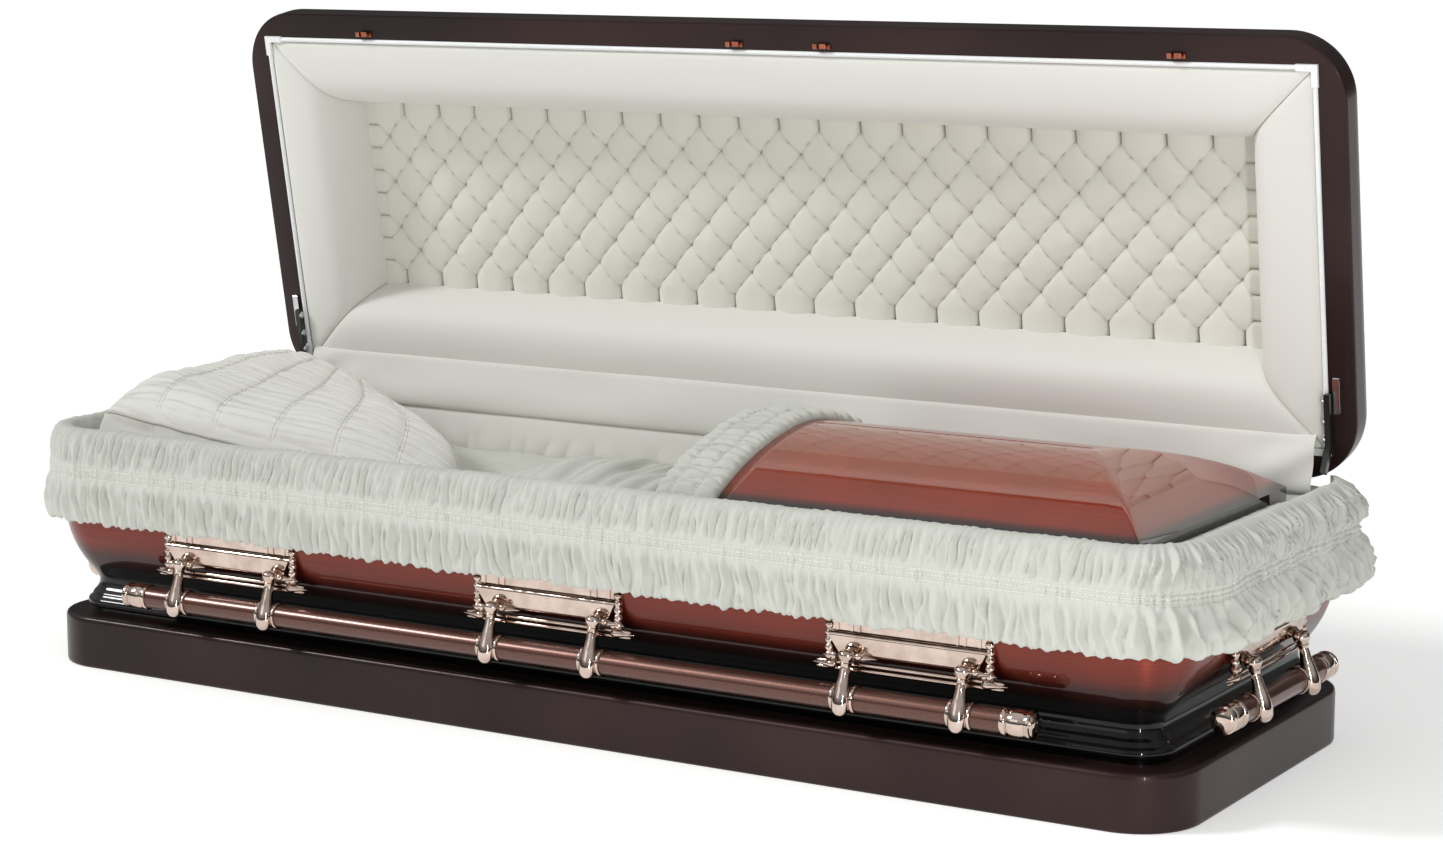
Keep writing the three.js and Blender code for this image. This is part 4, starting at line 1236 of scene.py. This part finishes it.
hem_sway = 2.6 * ripple(along, 0 * along, 110) + 1.2 * ripple(along, 0 * along, 26)
rise = section_height[:, None] + section_out[:, 1][:, None] * stands + lower_share[:, None] ** 2 * hem_sway
shelf_rise = shelf[:, 1][:, None] + 1.5 * ripple(along[None, :], 4 * section_rows[:, None], 40)
shelf_rise -= SHELF_DROP * at_foot
rise += (shelf_rise - rise) * shelf_part
rise = np.where(tucked & (rise < END_LOW), rise + (END_LOW - rise) * end_part, rise)
overlay_grid = np.concatenate([rim[None] + rim_out[None] * reach[:, :, None], rise[:, :, None]], axis=2)
print("the overlay reaches", round(reach.max(), 1), "mm past the base")

# %% Overlay cloth and stitches
overlay = make_object(
    "overlay_cloth", skin(overlay_grid, around=False, capped=False), GATHERED_CREPE,
    closed=False, sharp_degrees=180, attributes={"fold": overlay_fold_shading})
settle(overlay, "casket_body", ["overlay"])

THREAD_LIFT = 0.6
lifted = overlay_grid + np.column_stack([THREAD_LIFT * rim_out, np.zeros(len(along))])
stitch_rows = [np.argmin(np.where(outer, np.abs(section_height - row), np.inf)) for row in STITCH_HEIGHTS]
overlay_stitches = stitches("overlay_stitches", [lifted[row] for row in stitch_rows])
settle(overlay_stitches, "casket_body", [])

# %% [markdown]
# ## Pillow, bed and foot band
# The pillow is a full cushion heaped towards the head end, with shirred bands sewn across it. The bed is
# a soft mattress cover, rumpled in the middle. The band is a shirred cuff round the panel's head edge.

# %% Cushions
def grid_border(rows, columns):
    """The outline of a grid of points, once round."""
    border = [i * columns for i in range(rows)] + [(rows - 1) * columns + j for j in range(1, columns)]
    border += [i * columns + columns - 1 for i in range(rows - 2, -1, -1)]
    return border + list(range(columns - 2, 0, -1))


def cushion(name, top, finish, fold):
    """A closed cushion under a top grid, with one flat face below its outline."""
    rows, columns = top.shape[:2]
    solid = top.reshape(-1, 3), grid_faces(rows, columns) + [grid_border(rows, columns)]
    return make_object(name, solid, finish, sharp_degrees=180, attributes={"fold": fold})

# %% Pillow shape
PILLOW_HEAD_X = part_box("pillow")[0].x / MM + 14
PILLOW_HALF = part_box("pillow")[1].y / MM - 11
PILLOW_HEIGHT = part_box("pillow")[1].z / MM - BED_TOP + 34
WALL_REACH = 1.12
EDGE_LIFT = 116
FOOT_EDGE_X = -505
FOOT_EDGE_SLANT = 1.03
FOOT_EDGE_BOW = 60
FOOT_LOWER = 0.48
pillow_u = np.linspace(-WALL_REACH, WALL_REACH, 206)
pillow_v = np.linspace(-WALL_REACH, WALL_REACH, 300)
u, v = np.meshgrid(pillow_u, pillow_v, indexing="ij")
beyond = np.maximum(np.maximum(np.abs(u), np.abs(v)), 1.0)
wall_share = (beyond - 1) / (WALL_REACH - 1)
u = u / beyond
v = v / beyond
corner_pull = 1 - 0.04 * (u**2) * (v**2) + 0.03 * np.sin(math.pi * wall_share)
pillow_y = PILLOW_HALF * v * corner_pull * (1 - 0.03 * (1 - v**2))
foot_edge = FOOT_EDGE_X - FOOT_EDGE_SLANT * pillow_y + FOOT_EDGE_BOW * (1 - (pillow_y / PILLOW_HALF) ** 2)
to_foot = (u * corner_pull + 1) / 2
pillow_x = PILLOW_HEAD_X + (foot_edge - PILLOW_HEAD_X) * to_foot
crowned = np.clip(1 - np.abs(u) ** np.where(u > 0, 2.4, 6), 0, 1)
plump = crowned**0.5 * np.clip(1 - np.abs(v) ** 6, 0, 1) ** 0.5
to_front = ramp_up(-v, 0.2, 1.0)
seam_lift = EDGE_LIFT * (1 - 0.6 * np.sqrt(np.clip(to_foot, 0, 1)) * to_front)
pillow_top = seam_lift + (PILLOW_HEIGHT - seam_lift) * plump - (seam_lift - 2) * wall_share
pillow_top = BED_TOP + (1 - FOOT_LOWER * to_foot) * pillow_top
print("the pillow stands", round(pillow_top.max() - BED_TOP), "mm above the bed")

# %% Pillow shirring
BANDS = 6
SHIRR_PITCH = 10.5
SHIRR_DEPTH = 7.5
SEAM_DEPTH = 1.6
band_place = (u + 1) / 2 * BANDS
shirr = np.zeros_like(u)
for number in range(BANDS):
    lean = random.uniform(-14, 14)
    one_band = gathers(pillow_v * PILLOW_HALF, pillow_u, SHIRR_PITCH, lean=lean, wander=0.6)
    inside_band = (band_place >= number) & (band_place <= number + 1)
    shirr = np.where(inside_band, one_band, shirr)
puffed = 0.2 + 0.8 * np.abs(np.sin(math.pi * band_place)) ** 0.7
seams = sum(bell(band_place, number, 0.075) for number in range(1, BANDS))
relief = SHIRR_DEPTH * (shirr - 0.6) * puffed - SEAM_DEPTH * seams
pillow_top += plump**0.5 * (relief + 5 * ripple(pillow_x, pillow_y, 260))
pillow_grid = np.stack([pillow_x, pillow_y, pillow_top], axis=-1)
# Painted shade: the pillow's colour darkens in the creases of its shirring.
pillow = cushion("pillow_cushion", pillow_grid, SMOOTH_CREPE, np.clip(0.1 + 0.7 * shirr, 0, 1))
settle(pillow, None, ["pillow"])

# %% Pillow stitches and piping
PIPING_RADIUS = 3.2
low_u, high_u = np.flatnonzero(np.abs(pillow_u) <= 1)[[0, -1]]
low_v, high_v = np.flatnonzero(np.abs(pillow_v) <= 1)[[0, -1]]
seam_rows = [int(np.argmin(np.abs((pillow_u + 1) / 2 * BANDS - number))) for number in range(1, BANDS)]
sewn_grid = pillow_grid[:, low_v + 6:high_v - 6] + (0, 0, 0.5)
pillow_stitches = stitches("pillow_stitches", [
    sewn_grid[row + side] for row in seam_rows for side in (-1, 1)])
settle(pillow_stitches, None, [])

pillow_edge = np.vstack([
    pillow_grid[low_u, low_v:high_v], pillow_grid[low_u:high_u, high_v],
    pillow_grid[high_u, high_v:low_v:-1], pillow_grid[high_u:low_u:-1, low_v]])
piping = tube("pillow_piping", pillow_edge[::4], PIPING_RADIUS, SMOOTH_CREPE)
settle(piping, None, [])

# %% Bed
BED_HALF_X = 1008
BED_HALF_Y = 315
BED_SIDE = 296
BED_ROUND = 26
HEAP_RISE = 52
bed_columns = np.linspace(-BED_HALF_X, BED_HALF_X, 300)
bed_rows = np.linspace(-BED_HALF_Y, BED_HALF_Y, 96)
bed_x, bed_y = np.meshgrid(bed_columns, bed_rows, indexing="ij")
heap = np.exp(-np.abs((bed_x + 110) / 200) ** 3) * np.exp(-np.abs((bed_y + 10) / 170) ** 3)
bed_gathers = gathers(bed_columns, np.linspace(0, 1, len(bed_rows)), 26, lean=30, wander=0.5).T
bed_top = BED_TOP - 5 + HEAP_RISE * heap + 8 * bed_gathers * (0.3 + heap) + 5 * ripple(bed_x, bed_y, 160)
from_side = np.minimum(BED_HALF_X - np.abs(bed_x), BED_HALF_Y - np.abs(bed_y))
rounded = np.sqrt(1 - (1 - np.clip(from_side / BED_ROUND, 0, 1)) ** 2)
bed_top = BED_SIDE + (bed_top - BED_SIDE) * rounded
# Painted shade: the bed cover's colour darkens in the valleys between its gathers.
bed_fold_shading = np.clip(0.45 + 0.4 * bed_gathers, 0, 1)
bed = cushion("bed_mattress", np.stack([bed_x, bed_y, bed_top], axis=-1), GATHERED_CREPE, bed_fold_shading)
settle(bed, "casket_body", ["bed"])

# %% Foot band
BAND_ROWS = 46
BAND_SEAMS = (0.3, 0.68)
BAND_STAND = 13
BAND_SHIRR = 7.5
BAND_GROOVE = 3.2
BAND_HEM_Z = 372
BAND_CLEAR = 3
band_low, band_high = (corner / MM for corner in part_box("foot_panel_band"))
arch_y = np.concatenate([np.linspace(-PANEL_HALF, 0, 60), np.linspace(0, PANEL_HALF, 60)[1:]])
arch_top = np.column_stack([arch_y, PANEL_EDGE_Z + crown_rise(PANEL_HALF - np.abs(arch_y))])
arch = np.vstack([
    [(-PANEL_HALF - BAND_CLEAR, BAND_HEM_Z)], arch_top, [(PANEL_HALF + BAND_CLEAR, BAND_HEM_Z)]])
arch_length = lengths(arch)
band_along = np.arange(0, arch_length[-1], 2.4)
band_arch = at_places(band_along, arch_length, arch)
arch_slope = np.gradient(band_arch, band_along, axis=0)
arch_out = np.column_stack([-arch_slope[:, 1], arch_slope[:, 0]])
band_share = np.linspace(0, 1, BAND_ROWS)
band_x = band_low.x + (band_high.x - band_low.x) * band_share
band_shirr = gathers(band_along, band_share, 13, lean=5, wander=0.4)
band_seams = sum(bell(band_share, seam, 0.018) for seam in BAND_SEAMS)
band_full = 1 - 0.75 * sum(bell(band_share, seam, 0.06) for seam in BAND_SEAMS)
edge_round = np.sqrt(np.clip(1 - np.abs(2 * band_share - 1) ** 6, 0, 1))[:, None]
band_stand = edge_round * (BAND_STAND + (band_shirr - 0.6) * BAND_SHIRR * band_full[:, None])
band_stand -= BAND_GROOVE * band_seams[:, None]
band_end = np.minimum(band_along, arch_length[-1] - band_along)
band_stand *= 0.35 + 0.65 * ramp_up(band_end, 4, 45)
band_under = -BAND_CLEAR * edge_round * np.ones_like(band_stand)


def on_arch(stand):
    """Points that stand off the arch by these distances, a row for each place across the band."""
    spot = band_arch[None] + arch_out[None] * stand[:, :, None]
    return np.concatenate([np.broadcast_to(band_x[:, None, None], stand.shape + (1,)), spot], axis=2)


band_loop = np.concatenate([on_arch(band_stand), on_arch(band_under)[::-1]])
# Painted shade: the band's colour darkens in the creases between its gathers.
band_fold_shading = np.clip(0.2 + 0.7 * np.concatenate([band_shirr, band_shirr[::-1]]), 0, 1)
foot_band = make_object(
    "foot_band_cuff", skin(band_loop.transpose(1, 0, 2)), GATHERED_CREPE, sharp_degrees=180,
    attributes={"fold": band_fold_shading.T})
settle(foot_band, None, ["foot_panel_band"])

band_grid = on_arch(band_stand + 0.5)
band_stitches = stitches("foot_band_stitches", [
    band_grid[int(seam * (BAND_ROWS - 1)) + side] for seam in BAND_SEAMS for side in (0, 1)])
settle(band_stitches, None, [])

# %% [markdown]
# ## Back lining and apron
# Inside the back wall hangs a plain lining with soft pleats. Over the hinge an apron of smooth crepe
# joins the lining to the lid.

# %% Back lining
LINING_PAST_OVERLAY = 6
lining_half = straight_back + corner_arc + LINING_PAST_OVERLAY
lining_along = np.linspace(-lining_half, lining_half, 460)
LINING_KNOTS = [
    (9, 388.8), (15, 390), (25, 388.6), (32, 383), (36, 375), (38.5, 355), (38, 330), (37, 300), (37, 262)]
PLEAT_DEPTH = 3.4
lining_section = smooth(LINING_KNOTS, 6)
lining_share = np.linspace(0, 1, len(lining_section))
lining_pleats = gathers(lining_along, lining_share, 46, lean=10, wander=0.3)
pleat_depth = PLEAT_DEPTH * ramp_up(lining_share, 0.3, 0.6)
lining_in = lining_section[:, 0][:, None] + pleat_depth[:, None] * (lining_pleats - 0.5)
round_place = lining_along % EDGE_LENGTH[-1]
lining_edge = at_places(round_place, EDGE_LENGTH, EDGE)
lining_out = at_places(round_place, EDGE_LENGTH, EDGE_OUT)
lining_grid = np.concatenate([
    lining_edge[None] - lining_out[None] * lining_in[:, :, None],
    np.broadcast_to(lining_section[:, 1][:, None, None], lining_in.shape + (1,))], axis=2)
# Painted shade: the lining's colour darkens in the valleys of its pleats.
back_lining = make_object(
    "back_lining_cloth", skin(lining_grid, around=False, capped=False), SMOOTH_CREPE,
    closed=False, sharp_degrees=180, attributes={"fold": 0.55 + 0.25 * lining_pleats})
settle(back_lining, "casket_body", ["back_lining"])

# %% Apron over the hinge
APRON_HALF = 985
APRON_KNOTS = [
    (330.5, 472), (326, 468), (321.5, 455), (316, 432), (312, 408), (311.5, 393), (314, 382), (318, 378),
    (321.5, 384)]
apron_along = np.linspace(-APRON_HALF, APRON_HALF, 400)
apron_section = smooth(APRON_KNOTS, 5)
apron_share = np.linspace(0, 1, len(apron_section))
apron_waves = ripple(apron_along[None, :], 2.2 * apron_section[:, 1][:, None], 300)
near_end = bell(np.abs(apron_along), APRON_HALF, 90)
pinch = near_end * np.sin(apron_share[:, None] * 7 + apron_along[None, :] / 22)
loose = np.sin(math.pi * apron_share)[:, None]
apron_y = apron_section[:, 0][:, None] - loose * (3.5 * apron_waves + 5 * pinch)
apron_grid = np.stack([
    np.broadcast_to(apron_along, apron_y.shape), apron_y,
    np.broadcast_to(apron_section[:, 1][:, None], apron_y.shape)], axis=-1)
apron = make_object(
    "hinge_apron", skin(apron_grid[:, ::-1], around=False, capped=False), SMOOTH_CREPE,
    closed=False, sharp_degrees=180, attributes={"fold": np.full(apron_y.size, 0.7)})
settle(apron, None, [])

# %% [markdown]
# ## Coves and tufted panel
# Inside the lid four padded coves, mitred at the corners, frame a panel of diamond tufting. A cove is a
# soft roll that dips at its mitres, where it is sewn to its neighbour. A tufted panel is pulled back at a
# staggered grid of points, with folds running from point to point, so its height is worked out from how
# far a place lies from the two sets of fold lines.

# %% Coves
COVE_TOP = smooth([
    (8.6, 1), (13, -2), (24, -4.2), (44, -5.4), (64, -4.6), (82, -1.6), (96, 4), (107, 13), (115.5, 25),
    (122.5, 40), (128.5, 57), (133, 75), (136.5, 94)], 4)
COVE_UNDER = smooth([(126, 94), (122, 76), (113, 50), (100, 30), (82, 16), (40, 12), (9, 10)], 8)
COVE_STATIONS = 1 - np.linspace(0, 1, 30) ** 2.2
MITRE_GAP = 0.6
MITRE_DIP = 4.5
MITRE_REACH = 7.0
bead_half_x = HALF_LENGTH - FLANGE
bead_half_v = LID_WIDTH / 2 - FLANGE


def cove(name, half_along, away, turn):
    """One padded roll, mitred at both ends, away from the lid's middle and turned to its own edge."""
    outline = np.vstack([COVE_TOP, COVE_UNDER])
    inset, depth = outline.T
    stations = np.concatenate([-COVE_STATIONS, COVE_STATIONS[::-1][1:]])
    half_here = (half_along - inset - MITRE_GAP)[:, None]
    along_edge = half_here * stations[None, :]
    from_seam = half_here - np.abs(along_edge)
    on_top = (np.arange(len(outline)) < len(COVE_TOP))[:, None]
    dip = MITRE_DIP * np.exp(-from_seam / MITRE_REACH) * on_top
    sway = 0.9 * ripple(along_edge, 3 * inset[:, None], 380) * on_top
    w = depth[:, None] + dip + sway
    x, v = along_edge, away - inset[:, None] * np.ones_like(along_edge)
    c, s = math.cos(turn), math.sin(turn)
    placed = np.stack([c * x - s * v, LID_WIDTH / 2 - (s * x + c * v), w], axis=-1)
    # Painted shade: the roll's colour darkens where it dips into the mitre seams.
    made = make_object(
        name + "_roll", skin(on_lid(placed).transpose(1, 0, 2)), SMOOTH_CREPE, sharp_degrees=60,
        attributes={"fold": np.clip(0.8 - 0.12 * dip, 0, 1).T})
    return settle(made, None, [name])


coves = [
    cove("cove_back", bead_half_x, bead_half_v, 0.0),
    cove("cove_front", bead_half_x, bead_half_v, math.pi),
    cove("cove_foot", bead_half_v, bead_half_x, -math.pi / 2),
    cove("cove_head", bead_half_v, bead_half_x, math.pi / 2)]

# %% Tufting grid
TUFT_INSET = 137
TUFTS_ALONG = 22
TUFT_ROWS = 8
TUFT_BACK = 103
TUFT_RISE = 17
FOLD_RISE = 10.5
STEPS_ALONG = 24
STEPS_ACROSS = 14
TUFT_MARGIN = 2
tuft_half_x = bead_half_x - TUFT_INSET
tuft_half_v = bead_half_v - TUFT_INSET
tuft_pitch = 2 * tuft_half_x / TUFTS_ALONG
row_pitch = 2 * tuft_half_v / TUFT_ROWS


def centred_steps(pitches, steps):
    """Whole steps either side of the middle, over so many pitches and a margin."""
    reach_steps = pitches * steps // 2 + TUFT_MARGIN
    return np.arange(-reach_steps, reach_steps + 1)


tuft_x, tuft_v = np.meshgrid(
    centred_steps(TUFTS_ALONG, STEPS_ALONG) * tuft_pitch / STEPS_ALONG,
    centred_steps(TUFT_ROWS, STEPS_ACROSS) * row_pitch / STEPS_ACROSS, indexing="ij")
last_row = (TUFT_ROWS - 1) / 2
last_column = TUFTS_ALONG / 2 - 0.25
row_place = np.clip(tuft_v / row_pitch, -last_row, last_row) + 0.5
column_place = np.clip(tuft_x / tuft_pitch, -last_column, last_column)
lean_one = column_place + row_place / 2
lean_two = column_place - row_place / 2
print("tufts are", round(tuft_pitch, 1), "by", round(2 * row_pitch, 1), "mm")

# %% Tufted surface
hump_one = np.clip(4 * (lean_one % 1) * (1 - lean_one % 1), 0, 1)
hump_two = np.clip(4 * (lean_two % 1) * (1 - lean_two % 1), 0, 1)
puff = hump_one**0.45 * hump_two**0.45
ridges = (1 - hump_one**0.45) * hump_two**0.6 + (1 - hump_two**0.45) * hump_one**0.6
crease = np.exp(-hump_one / 0.05) + np.exp(-hump_two / 0.05)
pull_one = lean_one - np.round(lean_one)
pull_two = lean_two - np.round(lean_two)
pull_x = (pull_one + pull_two) / 2 * tuft_pitch
pull_v = (pull_one - pull_two) * row_pitch
from_point = np.hypot(pull_x, pull_v)
rays = np.cos(5 * np.arctan2(pull_v, pull_x) + 2.3 * np.round(lean_one) + 1.1 * np.round(lean_two))
star = 1.5 * rays * np.exp(-from_point / 15) * from_point / (from_point + 4)
uneven = 0.9 * ripple(tuft_x, tuft_v, 60)
tuft_rise = TUFT_RISE * puff + FOLD_RISE * ridges - 1.2 * crease + star + uneven
tuft_w = TUFT_BACK - np.clip(tuft_rise, -2, 40)
print("tufts stand", round(tuft_rise.max() - tuft_rise.min(), 1), "mm")

# %% Tufted panel
PANEL_BOARD = 6
panel_v = tuft_v + LID_WIDTH / 2
front_face = on_lid(np.stack([tuft_x, panel_v, tuft_w], axis=-1))
back_face = on_lid(np.stack([tuft_x, panel_v, np.full_like(tuft_x, TUFT_BACK + PANEL_BOARD)], axis=-1))
tuft_heights = tuft_rise.ravel()
tuft_faces = []
for a, b, c, d in grid_faces(*tuft_x.shape):
    if tuft_heights[a] + tuft_heights[c] < tuft_heights[b] + tuft_heights[d]:
        tuft_faces += [[a, b, c], [a, c, d]]
    else:
        tuft_faces += [[a, b, d], [b, c, d]]
border = grid_border(*tuft_x.shape)
behind = tuft_x.size
side_faces = [[a, b, b + behind, a + behind] for a, b in zip(border, border[1:] + border[:1])]
back_faces = [[index + behind for index in border[::-1]]]
# Painted shade: the tufting's colour darkens along its creases and at its pulled-back points.
tuft_fold_shading = np.clip(np.minimum(hump_one, hump_two) ** 0.35, 0, 1)
tuft_points = np.vstack([front_face.reshape(-1, 3), back_face.reshape(-1, 3)])
tuft_solid = tuft_points, tuft_faces + side_faces + back_faces
tufted = make_object(
    "tufted_panel_cloth", tuft_solid, TUFTED_CREPE, sharp_degrees=75,
    attributes={"fold": np.concatenate([tuft_fold_shading.ravel(), np.full(behind, 0.5)])})
settle(tufted, "lid", ["tufted_panel"])

# %% [markdown]
# ## Where the soft pieces ride
# The coves ride on the lid, and the overlay, the pillow, the band and their stitches on the body, each
# with a mesh of its own. The apron's place is baked into its mesh.

# %% Motion
for roll in coves:
    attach(roll, "lid")
    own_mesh(roll)
for soft in (overlay, overlay_stitches):
    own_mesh(soft)
for soft in (pillow, piping, pillow_stitches):
    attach(soft, "casket_body")
    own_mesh(soft)
for soft in (foot_band, band_stitches):
    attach(soft, "casket_body")
    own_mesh(soft)
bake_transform(apron)

# %% [markdown]
# ## What stays
# The hinge rail's solid is already the right shape, so it only gets its enamel.

# %% CAD nodes that stay as they are
hinge_rail = frame["nodes"]["hinge_rail"]
hinge_rail.data.materials.clear()
hinge_rail.data.materials.append(BLACK_STEEL)
print("the hinge rail keeps its", len(hinge_rail.data.polygons), "faces")
